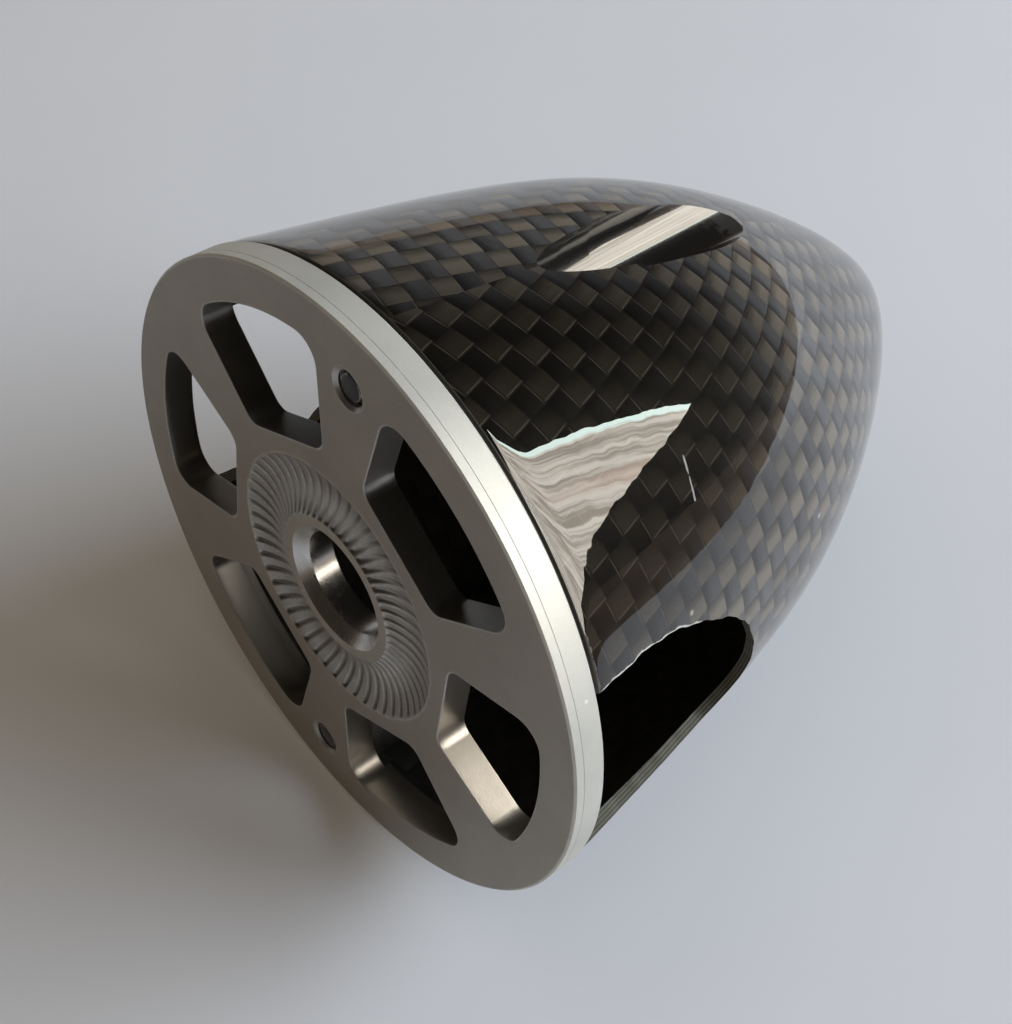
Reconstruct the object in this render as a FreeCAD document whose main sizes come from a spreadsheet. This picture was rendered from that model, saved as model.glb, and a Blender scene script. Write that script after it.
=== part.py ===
"""Propeller spinner: an aluminium backplate with a carbon-fibre cone held by two cap screws.

Frame: +Z is the spin axis towards the nose and the origin is the centre of the backplate's back
face, so the spinner stands on its backplate.  The propeller's blades leave along +X and -X and
the two cone screws stand on +Y and -Y.  Millimetres throughout.
"""
import FreeCAD, Part
import math
import os
import re

import Sketcher

Vector = FreeCAD.Vector
doc = FreeCAD.newDocument("propeller_spinner")

# cell name, value, what it is
DIMENSIONS = [
    ("plate_radius", 28.5, "outside radius of the backplate and of the cone's base"),
    ("plate_thickness", 2.85, "backplate thickness, which is the bright rim"),
    ("rim_chamfer", 0.15, "broken edges of the rim"),
    ("prop_seat_radius", 12.6, "raised seat that the propeller hub is clamped on"),
    ("prop_seat_height", 0.5, "height of that seat above the plate"),
    ("bore_radius", 4.75, "hole for the motor shaft"),
    ("bore_mouth_radius", 5.7, "wide end of the bore's lead-in cone"),
    ("bore_mouth_depth", 0.95, "depth of the lead-in cone"),
    ("trough_middle", 9.45, "radius of the middle of the serrated ring trough"),
    ("trough_half", 2.7, "half width of the trough at the back face"),
    ("trough_depth", 0.75, "depth of the trough in its middle"),
    ("serration_count", 52, "swirled drive serrations round the trough"),
    ("serration_depth", 0.14, "depth of one serration below the trough"),
    ("serration_cutter", 0.36, "radius of the round cutter that makes a serration"),
    ("serration_lean", 16, "lean of a serration from the radial line, degrees"),
    ("serration_sweep", 36, "half sweep of a serration across the trough, degrees"),
    ("window_count", 6, "lightening windows round the plate"),
    ("window_inner", 13.85, "distance of a window's straight inner edge from the axis"),
    ("window_outer", 24.7, "radius of a window's outer edge"),
    ("window_half", 5.2, "half width of a window at its inner edge"),
    ("window_flare", 20.8, "angle of a window's sides from its centre line, degrees"),
    ("window_inner_corner", 1.5, "corner radius at a window's inner edge"),
    ("window_outer_corner", 2.1, "corner radius at a window's outer edge"),
    ("screw_circle", 23.25, "distance of the cone screws from the axis"),
    ("tapped_radius", 1.5, "M3 tapped hole in the plate"),
    ("tapped_chamfer", 0.25, "broken edge of the tapped hole"),
    ("register_inner", 26.1, "inside radius of the ring that centres the cone"),
    ("register_outer", 26.9, "outside radius of that ring"),
    ("register_height", 1.2, "height of that ring"),
    ("register_blade_gap", 14.5, "half width of the ring's gap at each blade"),
    ("register_well_gap", 4.8, "half width of the ring's gap at each screw well"),
    ("flank_low_radius", 27.43, "pole of the cone's outline above its base"),
    ("flank_low_height", 9.7, "pole of the cone's outline above its base"),
    ("flank_mid_radius", 25.16, "pole of the cone's outline at its waist"),
    ("flank_mid_height", 25.89, "pole of the cone's outline at its waist"),
    ("flank_high_radius", 19.95, "pole of the cone's outline under its nose"),
    ("flank_high_height", 44.28, "pole of the cone's outline under its nose"),
    ("nose_blend", 4.62, "pole that gives the nose its roundness"),
    ("nose_height", 65.8, "height of the nose tip above the back face"),
    ("mid_lean", 11.5, "tilt of the wall's thickness at the waist pole, degrees"),
    ("high_lean", 36.9, "tilt of the wall's thickness at the pole under the nose, degrees"),
    ("nose_inset", 0.3, "how much less the inside is rounded at the nose"),
    ("wall", 0.9, "laminate thickness of the cone"),
    ("base_wall", 1.4, "thicker laminate at the cone's base"),
    ("nose_wall", 1.2, "laminate thickness at the nose"),
    ("base_round", 0.4, "rounded outside edge of the cone's base"),
    ("well_bore", 3.0, "radius of the screw well round the screw head"),
    ("well_mouth", 3.35, "radius of the scooped upper part of the well"),
    ("well_mouth_height", 22.2, "height at which the well widens"),
    ("well_wall", 1.0, "wall round the well inside the cone"),
    ("well_floor", 2.4, "thickness of the well's floor under the screw head"),
    ("screw_clearance", 1.65, "radius of the screw's hole through the floor"),
    ("blade_low_side", -13.25, "side of the blade opening at the trailing edge"),
    ("blade_high_side", 6.8, "side of the blade opening at the leading edge"),
    ("blade_shoulder", 7.6, "height at which the trailing side starts to curve over"),
    ("blade_side_pole", 9.3, "height of the pole that keeps the trailing side upright"),
    ("blade_haunch_side", -10.1, "pole of the opening's skewed haunch"),
    ("blade_haunch_height", 21.05, "pole of the opening's skewed haunch"),
    ("blade_crown_side", -1.7, "pole where the haunch runs into the top"),
    ("blade_top", 23.5, "height of the top of the blade opening"),
    ("blade_corner", 4.5, "radius of the opening's leading top corner"),
    ("blade_foot", 1.5, "height below the cone where the cutter starts"),
    ("blade_count", 2, "blades of the propeller"),
    ("cutter_reach", 1, "how far a cutter's section stands out behind the back face"),
    ("screw_radius", 1.45, "M3 shank over its threads"),
    ("screw_length", 5.0, "length of the screw under its head"),
    ("screw_tip", 0.35, "chamfer at the screw's tip"),
    ("head_radius", 2.75, "cap head"),
    ("head_height", 3.0, "cap head"),
    ("head_chamfer", 0.3, "top edge of the cap head"),
    ("socket_corner", 1.443, "hexagon socket, centre to corner"),
    ("socket_depth", 1.3, "depth of the socket"),
]
CELL = re.compile(r"\b(" + "|".join(alias for alias, _, _ in DIMENSIONS) + r")\b")
WELL_TOP = "plate_thickness + well_floor"


def make_sheet():
    """Put the driving dimensions in a spreadsheet, one named cell each."""
    cells = doc.addObject("Spreadsheet::Sheet", "Dims")
    for row, (alias, value, note) in enumerate(DIMENSIONS, start=1):
        cells.set(f"A{row}", note)
        cells.set(f"B{row}", str(value))
        cells.setAlias(f"B{row}", alias)
    doc.recompute()
    return cells


sheet = make_sheet()


def size(expression):
    """Value of a cell, or of a sum over cells."""
    return float(sheet.evalExpression(expression))


def bound(expression):
    """The same expression as objects outside the sheet write it."""
    return CELL.sub(r"Dims.\1", expression)


def bind(feature, **expressions):
    """Bind a feature's properties to expressions over the sheet's cells."""
    for name, expression in expressions.items():
        feature.setExpression(name, bound(expression))


def origin_feature(body, role):
    """One of a body's own origin planes or axes, by its role such as XY_Plane."""
    return next(f for f in body.Origin.OriginFeatures if f.Role == role)


def new_body(label):
    """Empty body whose label is the piece's name."""
    body = doc.addObject("PartDesign::Body", label)
    body.Label = label
    return body


def new_sketch(body, name, role="XY_Plane", height=None):
    """Sketch on an origin plane, lifted along its normal by an expression."""
    sketch = body.newObject("Sketcher::SketchObject", name)
    sketch.AttachmentSupport = [(origin_feature(body, role), "")]
    sketch.MapMode = "FlatFace"
    if height:
        sketch.setExpression("AttachmentOffset.Base.z", bound(height))
    return sketch


def constrain(sketch, expression, kind, *where):
    """Add a sketch dimension that follows an expression."""
    index = sketch.addConstraint(Sketcher.Constraint(kind, *where, size(expression)))
    sketch.setExpression(f"Constraints[{index}]", bound(expression))


def pin_point(sketch, geo, end, x, y):
    """Hold a sketch point at the place that two expressions give."""
    for kind, axis, expression in (("DistanceX", -2, x), ("DistanceY", -1, y)):
        if expression == "0":
            sketch.addConstraint(Sketcher.Constraint("PointOnObject", geo, end, axis))
        else:
            constrain(sketch, expression, kind, -1, 1, geo, end)


def spots(points):
    """Vectors for points given as pairs of expressions."""
    return [Vector(size(x), size(y), 0) for x, y in points]


def draw_chain(sketch, points):
    """Straight lines from point to point, the ends left open."""
    for (start, end), (x, y), (x_next, y_next) in zip(
            zip(spots(points), spots(points)[1:]), points, points[1:]):
        line = sketch.addGeometry(Part.LineSegment(start, end))
        pin_point(sketch, line, 1, x, y)
        pin_point(sketch, line, 2, x_next, y_next)


def draw_circle(sketch, radius, x="0", y="0"):
    """Circle round a point."""
    circle = sketch.addGeometry(Part.Circle(Vector(size(x), size(y), 0), Vector(0, 0, 1), size(radius)))
    constrain(sketch, radius, "Radius", circle)
    pin_point(sketch, circle, 3, x, y)


def draw_spline(sketch, poles):
    """Cubic spline on poles, each held by two expressions."""
    curve = Part.BSplineCurve()
    inner = len(poles) - 4
    curve.buildFromPolesMultsKnots(spots(poles), [4] + [1] * inner + [4], list(range(inner + 2)), False, 3)
    spline = sketch.addGeometry(curve)
    sketch.exposeInternalGeometry(spline)
    for number, (x, y) in enumerate(poles, start=1):
        pin_point(sketch, spline + number, 3, x, y)


def pad(body, sketch, length, downward=False):
    """Extrude a sketch by an expression."""
    feature = body.newObject("PartDesign::Pad", sketch.Name + "Pad")
    feature.Profile = sketch
    feature.Reversed = downward
    bind(feature, Length=length)
    doc.recompute()
    return feature


def pocket(body, sketch, length=None):
    """Cut upward along the sketch's normal, by an expression or through everything."""
    before = body.Shape.Volume
    feature = body.newObject("PartDesign::Pocket", sketch.Name + "Pocket")
    feature.Profile = sketch
    feature.Reversed = True
    if length:
        bind(feature, Length=length)
    else:
        feature.Type = "ThroughAll"
    doc.recompute()
    if not feature.Shape.Volume < before:
        raise ValueError(f"{feature.Name} cuts nothing")
    return feature


def turn(body, sketch, kind):
    """Revolve a sketch round its own vertical axis, as a Revolution or a Groove."""
    feature = body.newObject("PartDesign::" + kind, sketch.Name + kind)
    feature.Profile = sketch
    feature.ReferenceAxis = (sketch, ["V_Axis"])
    feature.Angle = 360
    doc.recompute()
    return feature


def repeat(body, feature, count):
    """Polar pattern of one feature round the spin axis."""
    pattern = body.newObject("PartDesign::PolarPattern", feature.Name + "Pattern")
    pattern.Originals = [feature]
    pattern.Axis = (origin_feature(body, "Z_Axis"), [""])
    pattern.Angle = 360
    bind(pattern, Occurrences=count)
    body.Tip = pattern
    doc.recompute()
    return pattern


def dress_edges(body, kind, name, wanted, **sizes):
    """Fillet or chamfer the edges of the body's tip that a test picks."""
    base = body.Tip
    names = [f"Edge{i}" for i, edge in enumerate(base.Shape.Edges, start=1) if wanted(edge)]
    feature = body.newObject("PartDesign::" + kind, name)
    feature.Base = (base, names)
    bind(feature, **sizes)
    doc.recompute()
    return feature


def is_circle(edge, radius, height, centre=(0, 0)):
    """True for a circle about a vertical axis with this radius, height and centre."""
    if edge.Degenerated:
        return False
    curve = edge.Curve
    return (isinstance(curve, Part.Circle) and abs(curve.Radius - radius) < 1e-3
            and (curve.Center - Vector(*centre, height)).Length < 1e-3)


def is_upright(edge, radius):
    """True for a line parallel to the spin axis at this distance from it."""
    if edge.Degenerated:
        return False
    start, end = edge.Vertexes[0].Point, edge.Vertexes[-1].Point
    return (abs(start.x - end.x) + abs(start.y - end.y) < 1e-6 and abs(start.z - end.z) > 0.1
            and abs(math.hypot(start.x, start.y) - radius) < 1e-3)


# backplate

def add_register(body):
    """Low ring that the cone's base fits round, open at the blades and at the screw wells."""
    ring = new_sketch(body, "Register", height="plate_thickness")
    draw_circle(ring, "register_outer")
    draw_circle(ring, "register_inner")
    pad(body, ring, "register_height")
    for name, half_x, half_y in (("BladeGap", "plate_radius", "register_blade_gap"),
                                 ("WellGap", "register_well_gap", "plate_radius")):
        gap = new_sketch(body, name, height="plate_thickness")
        corners = [(f"{sx}{half_x}", f"{sy}{half_y}") for sx, sy in (("-", "-"), ("", "-"), ("", ""), ("-", ""))]
        draw_chain(gap, corners + corners[:1])
        pocket(body, gap, "register_height")


def add_bore(body):
    """Shaft bore with its lead-in cone at the back face."""
    section = new_sketch(body, "Bore", "XZ_Plane")
    outline = [("0", "-cutter_reach"), ("bore_mouth_radius", "-cutter_reach"), ("bore_mouth_radius", "0"),
               ("bore_radius", "bore_mouth_depth"), ("bore_radius", "2 * plate_thickness"),
               ("0", "2 * plate_thickness")]
    draw_chain(section, outline + outline[:1])
    turn(body, section, "Groove")


def trough_arc():
    """Radius of the trough's round section and the depth of its centre behind the plate."""
    half, depth = size("trough_half"), size("trough_depth")
    radius = (half ** 2 + depth ** 2) / (2 * depth)
    return radius, radius - depth


def add_trough(body):
    """Shallow ring trough in the back face, a circular arc in section."""
    section = new_sketch(body, "Trough", "XZ_Plane")
    radius, drop = trough_arc()
    spread = math.asin(size("trough_half") / radius)
    circle = Part.Circle(Vector(size("trough_middle"), -drop, 0), Vector(0, 0, 1), radius)
    arc = section.addGeometry(Part.ArcOfCircle(circle, math.pi / 2 - spread, math.pi / 2 + spread))
    pin_point(section, arc, 1, "trough_middle + trough_half", "0")
    pin_point(section, arc, 2, "trough_middle - trough_half", "0")
    constrain(section, "(trough_half^2 + trough_depth^2) / (2 * trough_depth)", "Radius", arc)
    inner, outer = "trough_middle - trough_half", "trough_middle + trough_half"
    draw_chain(section, [(inner, "0"), (inner, "-cutter_reach"), (outer, "-cutter_reach"), (outer, "0")])
    turn(body, section, "Groove")


def add_serrations(body):
    """Swirl of shallow round-bottomed serrations that follow the trough's section and lean."""
    lean, sweep = (math.radians(size(cell)) for cell in ("serration_lean", "serration_sweep"))
    along, up = Vector(math.cos(lean), math.sin(lean), 0), Vector(0, 0, 1)
    start = up * math.cos(sweep) - along * math.sin(sweep)
    onward = up * math.sin(sweep) + along * math.cos(sweep)
    cutter = body.newObject("PartDesign::SubtractiveTorus", "Serration")
    cutter.AttachmentSupport = [(origin_feature(body, "XY_Plane"), "")]
    cutter.MapMode = "FlatFace"
    cutter.AttachmentOffset = FreeCAD.Placement(
        Vector(size("trough_middle"), 0, -trough_arc()[1]),
        FreeCAD.Rotation(start, onward, start.cross(onward), "XYZ"))
    arc_radius = "(trough_half^2 + trough_depth^2) / (2 * trough_depth)"
    bind(cutter, Radius1=f"{arc_radius} + serration_depth - serration_cutter",
         Radius2="serration_cutter", Angle3="2 * serration_sweep")
    doc.recompute()
    repeat(body, cutter, "serration_count")


def add_windows(body):
    """Six lightening windows: straight inner edge, flared sides and a concentric outer edge."""
    inner, half, outer = (size(cell) for cell in ("window_inner", "window_half", "window_outer"))
    flare = math.radians(size("window_flare"))
    reach = inner * math.cos(flare) + half * math.sin(flare)
    run = math.sqrt(reach ** 2 - inner ** 2 - half ** 2 + outer ** 2) - reach
    far = Vector(inner + run * math.cos(flare), half + run * math.sin(flare), 0)
    sketch = new_sketch(body, "Window")
    sides = []
    for sign in (-1, 1):
        side = sketch.addGeometry(Part.LineSegment(Vector(inner, sign * half, 0), Vector(far.x, sign * far.y, 0)))
        pin_point(sketch, side, 1, "window_inner", f"{sign} * window_half")
        constrain(sketch, f"{sign} * window_flare * pi / 180", "Angle", side)
        sides.append(side)
    opening = math.atan2(far.y, far.x)
    edge = sketch.addGeometry(Part.ArcOfCircle(Part.Circle(Vector(), Vector(0, 0, 1), outer), -opening, opening))
    sketch.addConstraint(Sketcher.Constraint("Coincident", edge, 3, -1, 1))
    constrain(sketch, "window_outer", "Radius", edge)
    for end, side in enumerate(sides, start=1):
        sketch.addConstraint(Sketcher.Constraint("Coincident", edge, end, side, 2))
    draw_chain(sketch, [("window_inner", "-window_half"), ("window_inner", "window_half")])
    repeat(body, pocket(body, sketch), "window_count")
    for name, radius, corner in (("WindowInnerCorners", math.hypot(inner, half), "window_inner_corner"),
                                 ("WindowOuterCorners", outer, "window_outer_corner")):
        dress_edges(body, "Fillet", name, lambda edge: is_upright(edge, radius), Radius=corner)


def add_tapped_holes(body):
    """Two chamfered M3 holes on opposite spokes for the cone screws."""
    holes = new_sketch(body, "TappedHoles")
    draw_circle(holes, "tapped_radius", "0", "screw_circle")
    draw_circle(holes, "tapped_radius", "0", "-screw_circle")
    pocket(body, holes)
    place = size("screw_circle")
    dress_edges(body, "Chamfer", "TappedHoleEdges",
                lambda edge: any(is_circle(edge, size("tapped_radius"), 0, (0, y)) for y in (place, -place)),
                Size="tapped_chamfer")


def make_backplate():
    """Turned aluminium disc that carries the cone and drives the propeller."""
    body = new_body("backplate")
    disc = new_sketch(body, "Disc")
    draw_circle(disc, "plate_radius")
    pad(body, disc, "plate_thickness")
    rim_heights = (0, size("plate_thickness"))
    dress_edges(body, "Chamfer", "RimEdges",
                lambda edge: any(is_circle(edge, size("plate_radius"), height) for height in rim_heights),
                Size="rim_chamfer")
    add_register(body)
    seat = new_sketch(body, "PropSeat", height="plate_thickness")
    draw_circle(seat, "prop_seat_radius")
    pad(body, seat, "prop_seat_height")
    add_bore(body)
    add_windows(body)
    add_tapped_holes(body)
    add_trough(body)
    add_serrations(body)
    return body


# cone

def turned_solid(name, outline, foot):
    """Solid of revolution under a splined outline that starts at the foot's height."""
    body = new_body(name)
    section = new_sketch(body, name + "Section", "XZ_Plane")
    draw_spline(section, outline)
    draw_chain(section, [outline[-1], ("0", foot), outline[0]])
    turn(body, section, "Revolution")
    return body


def make_cone_blank():
    """Cone moulded hollow, with two solid columns where the screw wells go."""
    outer = turned_solid("ConeForm", [
        ("plate_radius", "plate_thickness"), ("flank_low_radius", "flank_low_height"),
        ("flank_mid_radius", "flank_mid_height"), ("flank_high_radius", "flank_high_height"),
        ("nose_blend", "nose_height"), ("0", "nose_height")], "plate_thickness")
    cavity = turned_solid("ConeCavity", [
        ("plate_radius - base_wall", "plate_thickness"),
        ("flank_low_radius - wall", "flank_low_height"),
        ("flank_mid_radius - wall * cos(mid_lean)", "flank_mid_height - wall * sin(mid_lean)"),
        ("flank_high_radius - wall * cos(high_lean)", "flank_high_height - wall * sin(high_lean)"),
        ("nose_blend - nose_inset", "nose_height - nose_wall"),
        ("0", "nose_height - nose_wall")], "plate_thickness")
    columns = new_sketch(cavity, "Columns")
    draw_circle(columns, "well_bore + well_wall", "0", "screw_circle")
    draw_circle(columns, "well_bore + well_wall", "0", "-screw_circle")
    pocket(cavity, columns)
    blank = doc.addObject("Part::Cut", "ConeBlank")
    blank.Base = outer
    blank.Tool = cavity
    doc.recompute()
    return blank


def add_screw_wells(body):
    """Screw wells: a hole through the floor, a bore round the head and a wider scooped mouth."""
    for name, radius, height in (("ScrewHoles", "screw_clearance", "0"),
                                 ("WellBores", "well_bore", WELL_TOP),
                                 ("WellMouths", "well_mouth", "well_mouth_height")):
        sketch = new_sketch(body, name, height=height)
        draw_circle(sketch, radius, "0", "screw_circle")
        draw_circle(sketch, radius, "0", "-screw_circle")
        pocket(body, sketch)


def add_blade_openings(body):
    """Opening for each blade, open at the base, skewed over to suit a pitched blade root."""
    sketch = new_sketch(body, "BladeOpening", "YZ_Plane")
    corner_y, corner_z = "blade_high_side - blade_corner", "blade_top - blade_corner"
    centre = Vector(size(corner_y), size(corner_z), 0)
    circle = Part.Circle(centre, Vector(0, 0, 1), size("blade_corner"))
    corner = sketch.addGeometry(Part.ArcOfCircle(circle, 0, math.pi / 2))
    pin_point(sketch, corner, 1, "blade_high_side", corner_z)
    pin_point(sketch, corner, 2, corner_y, "blade_top")
    constrain(sketch, "blade_corner", "Radius", corner)
    draw_spline(sketch, [
        (corner_y, "blade_top"), ("blade_crown_side", "blade_top"),
        ("blade_haunch_side", "blade_haunch_height"), ("blade_low_side", "blade_side_pole"),
        ("blade_low_side", "blade_shoulder")])
    draw_chain(sketch, [("blade_low_side", "blade_shoulder"), ("blade_low_side", "blade_foot"),
                        ("blade_high_side", "blade_foot"), ("blade_high_side", corner_z)])
    repeat(body, pocket(body, sketch), "blade_count")


def make_cone():
    """Carbon-fibre cone, one moulding with its screw wells."""
    blank = make_cone_blank()
    body = new_body("carbon_cone")
    body.BaseFeature = blank
    doc.recompute()
    add_screw_wells(body)
    add_blade_openings(body)
    dress_edges(body, "Fillet", "BaseRound",
                lambda edge: is_circle(edge, size("plate_radius"), size("plate_thickness")),
                Radius="base_round")
    return body


# screws

def make_cone_screw(label, place):
    """M3 cap screw from the nose side, its head on the well's floor and its tip in the plate."""
    body = new_body(label)
    for name, radius, length, downward in (("Head", "head_radius", "head_height", False),
                                           ("Shank", "screw_radius", "screw_length", True)):
        sketch = new_sketch(body, name, height=WELL_TOP)
        draw_circle(sketch, radius, "0", place)
        pad(body, sketch, length, downward)
    centre = (0, size(place))
    head_top = size(f"{WELL_TOP} + head_height")
    tip = size(f"{WELL_TOP} - screw_length")
    dress_edges(body, "Chamfer", "HeadEdge",
                lambda edge: is_circle(edge, size("head_radius"), head_top, centre), Size="head_chamfer")
    dress_edges(body, "Chamfer", "TipEdge",
                lambda edge: is_circle(edge, size("screw_radius"), tip, centre), Size="screw_tip")
    socket = new_sketch(body, "Socket", height=f"{WELL_TOP} + head_height - socket_depth")
    corners = [(f"socket_corner * {math.cos(math.radians(turned)):.6f}",
                f"{place} + socket_corner * {math.sin(math.radians(turned)):.6f}") for turned in range(0, 360, 60)]
    draw_chain(socket, corners + corners[:1])
    pocket(body, socket)
    return body


def write_pieces(pieces):
    """Check the whole document, then write one STEP file for each piece."""
    doc.recompute()
    for item in doc.Objects:
        if {"Invalid", "Error"} & set(item.State):
            raise ValueError(f"{item.Label} did not build: {item.State}")
    os.makedirs("parts", exist_ok=True)
    for piece in pieces:
        if piece.Shape.isNull() or not piece.Shape.isValid():
            raise ValueError(f"{piece.Label} has no valid shape")
        piece.Shape.exportStep(f"parts/{piece.Label}.step")
        box = piece.Shape.BoundBox
        print(f"{piece.Label}: {len(piece.Shape.Solids)} solid, {piece.Shape.Volume:.1f} mm3, "
              f"{box.XLength:.2f} x {box.YLength:.2f} x {box.ZLength:.2f} mm from z {box.ZMin:.2f}")


write_pieces([
    make_backplate(),
    make_cone(),
    make_cone_screw("cone_screw_1", "-screw_circle"),
    make_cone_screw("cone_screw_2", "screw_circle"),
])
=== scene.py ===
"""Looks of a propeller spinner: a gloss carbon-fibre cone on a bead-blasted aluminium backplate."""
import logging
import math
import random
from dataclasses import dataclass, field
from enum import Enum
from typing import Callable, Iterable, Sequence

import bmesh
import bpy
import numpy as np
from mathutils import Matrix, Vector
from mathutils.kdtree import KDTree


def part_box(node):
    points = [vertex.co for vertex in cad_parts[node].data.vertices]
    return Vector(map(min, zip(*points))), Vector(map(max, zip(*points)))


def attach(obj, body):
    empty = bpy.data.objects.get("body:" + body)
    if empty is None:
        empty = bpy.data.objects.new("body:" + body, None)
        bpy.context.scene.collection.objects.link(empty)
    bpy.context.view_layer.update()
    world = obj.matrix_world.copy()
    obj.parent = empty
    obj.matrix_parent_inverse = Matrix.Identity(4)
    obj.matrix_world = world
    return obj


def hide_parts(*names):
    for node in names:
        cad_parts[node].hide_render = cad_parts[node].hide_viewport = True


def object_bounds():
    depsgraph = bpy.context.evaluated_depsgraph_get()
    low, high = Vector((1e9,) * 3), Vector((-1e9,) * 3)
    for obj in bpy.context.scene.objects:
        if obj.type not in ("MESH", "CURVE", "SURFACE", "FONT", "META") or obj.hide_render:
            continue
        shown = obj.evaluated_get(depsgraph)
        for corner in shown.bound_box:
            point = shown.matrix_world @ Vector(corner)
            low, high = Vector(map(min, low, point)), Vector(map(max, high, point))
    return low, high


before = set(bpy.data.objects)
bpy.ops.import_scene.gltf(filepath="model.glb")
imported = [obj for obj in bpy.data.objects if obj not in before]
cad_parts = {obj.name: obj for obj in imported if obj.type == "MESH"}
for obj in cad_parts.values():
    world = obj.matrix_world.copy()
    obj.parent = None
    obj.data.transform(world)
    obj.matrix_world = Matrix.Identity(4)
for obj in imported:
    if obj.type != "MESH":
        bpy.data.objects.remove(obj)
CAD_BOX = [list(corner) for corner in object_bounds()]

MM = 0.001
BODY = "root"
EDGE_REACH = 0.5  # distance over which the edge attribute fades from 0 to 1, in millimetres
WELD_REACH = 0.002  # how far apart two points may be that become one, in millimetres
FLAT_WEIGHT = 80  # how much more a large face counts in the shading than a small one, in per cent
PLATE_RADIUS = round(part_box("backplate")[1].x / MM, 2)
CONE_BASE = round(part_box("carbon_cone")[0].z / MM, 2)  # where the cone sits on the plate
NOSE_HEIGHT = round(CAD_BOX[1][2] / MM, 2)
SCREW_CIRCLE = round(sum(corner.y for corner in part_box("cone_screw_2")) / 2 / MM, 2)
log = logging.getLogger("spinner")

Socket = bpy.types.NodeSocket
Value = float | Sequence[float] | Socket
Colour = tuple[float, float, float, float]


class Part(Enum):
    """The faces of a piece that are finished alike; the value is the material slot's index."""
    MAIN = 0
    WALL = 1
    INNER = 2
    EXTRA = 3


# shader graphs

class Graph:
    """Adds and links nodes in one node tree."""

    def __init__(self, tree: bpy.types.NodeTree) -> None:
        """Keep the tree that the nodes go in."""
        self.tree = tree

    def node(self, kind: str, inputs: dict[str | int, Value] | None = None,
             **settings: object) -> bpy.types.Node:
        """Add a node.

        Args:
            kind: Blender's node type without its ShaderNode prefix.
            inputs: sockets by name or number, each with a value or the output that feeds it.
            settings: properties of the node.

        Returns:
            The new node.
        """
        made = self.tree.nodes.new("ShaderNode" + kind)
        for name, setting in settings.items():
            setattr(made, name, setting)
        for key, given in (inputs or {}).items():
            if isinstance(given, bpy.types.NodeSocket):
                self.tree.links.new(given, made.inputs[key])
            else:
                made.inputs[key].default_value = given
        return made

    def math(self, operation: str, *terms: Value, clamp: bool = False) -> Socket:
        """Output of a Math node over one to three terms."""
        return self.node("Math", dict(enumerate(terms)), operation=operation, use_clamp=clamp).outputs[0]

    def vector(self, operation: str, *terms: Value, output: int = 0) -> Socket:
        """Output of a Vector Math node over its terms."""
        return self.node("VectorMath", dict(enumerate(terms)), operation=operation).outputs[output]

    def step(self, value: Value, low: float, high: float, start: Value = 0.0, end: Value = 1.0) -> Socket:
        """Smooth step of a value from one level to another."""
        return self.node("MapRange", {0: value, 1: low, 2: high, 3: start, 4: end},
                         interpolation_type="SMOOTHSTEP").outputs[0]

    def blend(self, factor: Value, first: Value, second: Value) -> Socket:
        """Mix of two colours."""
        return self.node("Mix", {0: factor, 6: first, 7: second}, data_type="RGBA").outputs[2]

    def lerp(self, factor: Value, first: Value, second: Value) -> Socket:
        """Mix of two numbers."""
        return self.node("Mix", {0: factor, 2: first, 3: second}, data_type="FLOAT").outputs[0]

    def over(self, mask: Socket, share: float, colour: Value, top: Value) -> Socket:
        """A colour with another laid over it by a share of a mask."""
        return self.blend(self.math("MULTIPLY", mask, share), colour, top)

    def noise(self, vector: Socket, scale: Value, detail: float = 2.0, roughness: float = 0.5) -> Socket:
        """Noise value over a vector."""
        return self.node("TexNoise", {"Vector": vector, "Scale": scale, "Detail": detail,
                                      "Roughness": roughness}).outputs[0]

    def xyz(self, vector: Socket) -> Sequence[Socket]:
        """The three parts of a vector."""
        return self.node("SeparateXYZ", {0: vector}).outputs

    def position(self) -> Socket:
        """Position on the piece, in metres."""
        return self.node("TexCoord").outputs["Object"]

    def attribute(self, name: str) -> Socket:
        """A number stored on the mesh."""
        return self.node("Attribute", attribute_name=name).outputs["Fac"]

    def group(self, tree: bpy.types.NodeTree, **inputs: Value) -> bpy.types.Node:
        """Place a node group and set its sockets.

        Args:
            tree: the node group.
            inputs: its sockets, each with a value or the output that feeds it.

        Returns:
            The new node.
        """
        made = self.node("Group", node_tree=tree)
        for name, given in inputs.items():
            if isinstance(given, bpy.types.NodeSocket):
                self.tree.links.new(given, made.inputs[name])
            else:
                made.inputs[name].default_value = given
        return made


class Effect:
    """A shader node group with named sockets that several finishes share."""

    def __init__(self, name: str, inputs: dict[str, float | str], outputs: Sequence[str]) -> None:
        """Make the empty group.

        Args:
            name: name of the group.
            inputs: sockets and their values; the word vector stands for a vector socket.
            outputs: names of the numbers that the group puts out.
        """
        self.tree = bpy.data.node_groups.new(name, "ShaderNodeTree")
        self.graph = Graph(self.tree)
        for socket, value in inputs.items():
            kind = "NodeSocketVector" if value == "vector" else "NodeSocketFloat"
            made = self.tree.interface.new_socket(name=socket, in_out="INPUT", socket_type=kind)
            if value != "vector":
                made.default_value = value
        for socket in outputs:
            self.tree.interface.new_socket(name=socket, in_out="OUTPUT", socket_type="NodeSocketFloat")
        self.given = self.tree.nodes.new("NodeGroupInput").outputs
        self.result = self.tree.nodes.new("NodeGroupOutput").inputs

    def put(self, name: str, value: Socket) -> None:
        """Link a result to one of the group's outputs."""
        self.tree.links.new(value, self.result[name])


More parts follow.
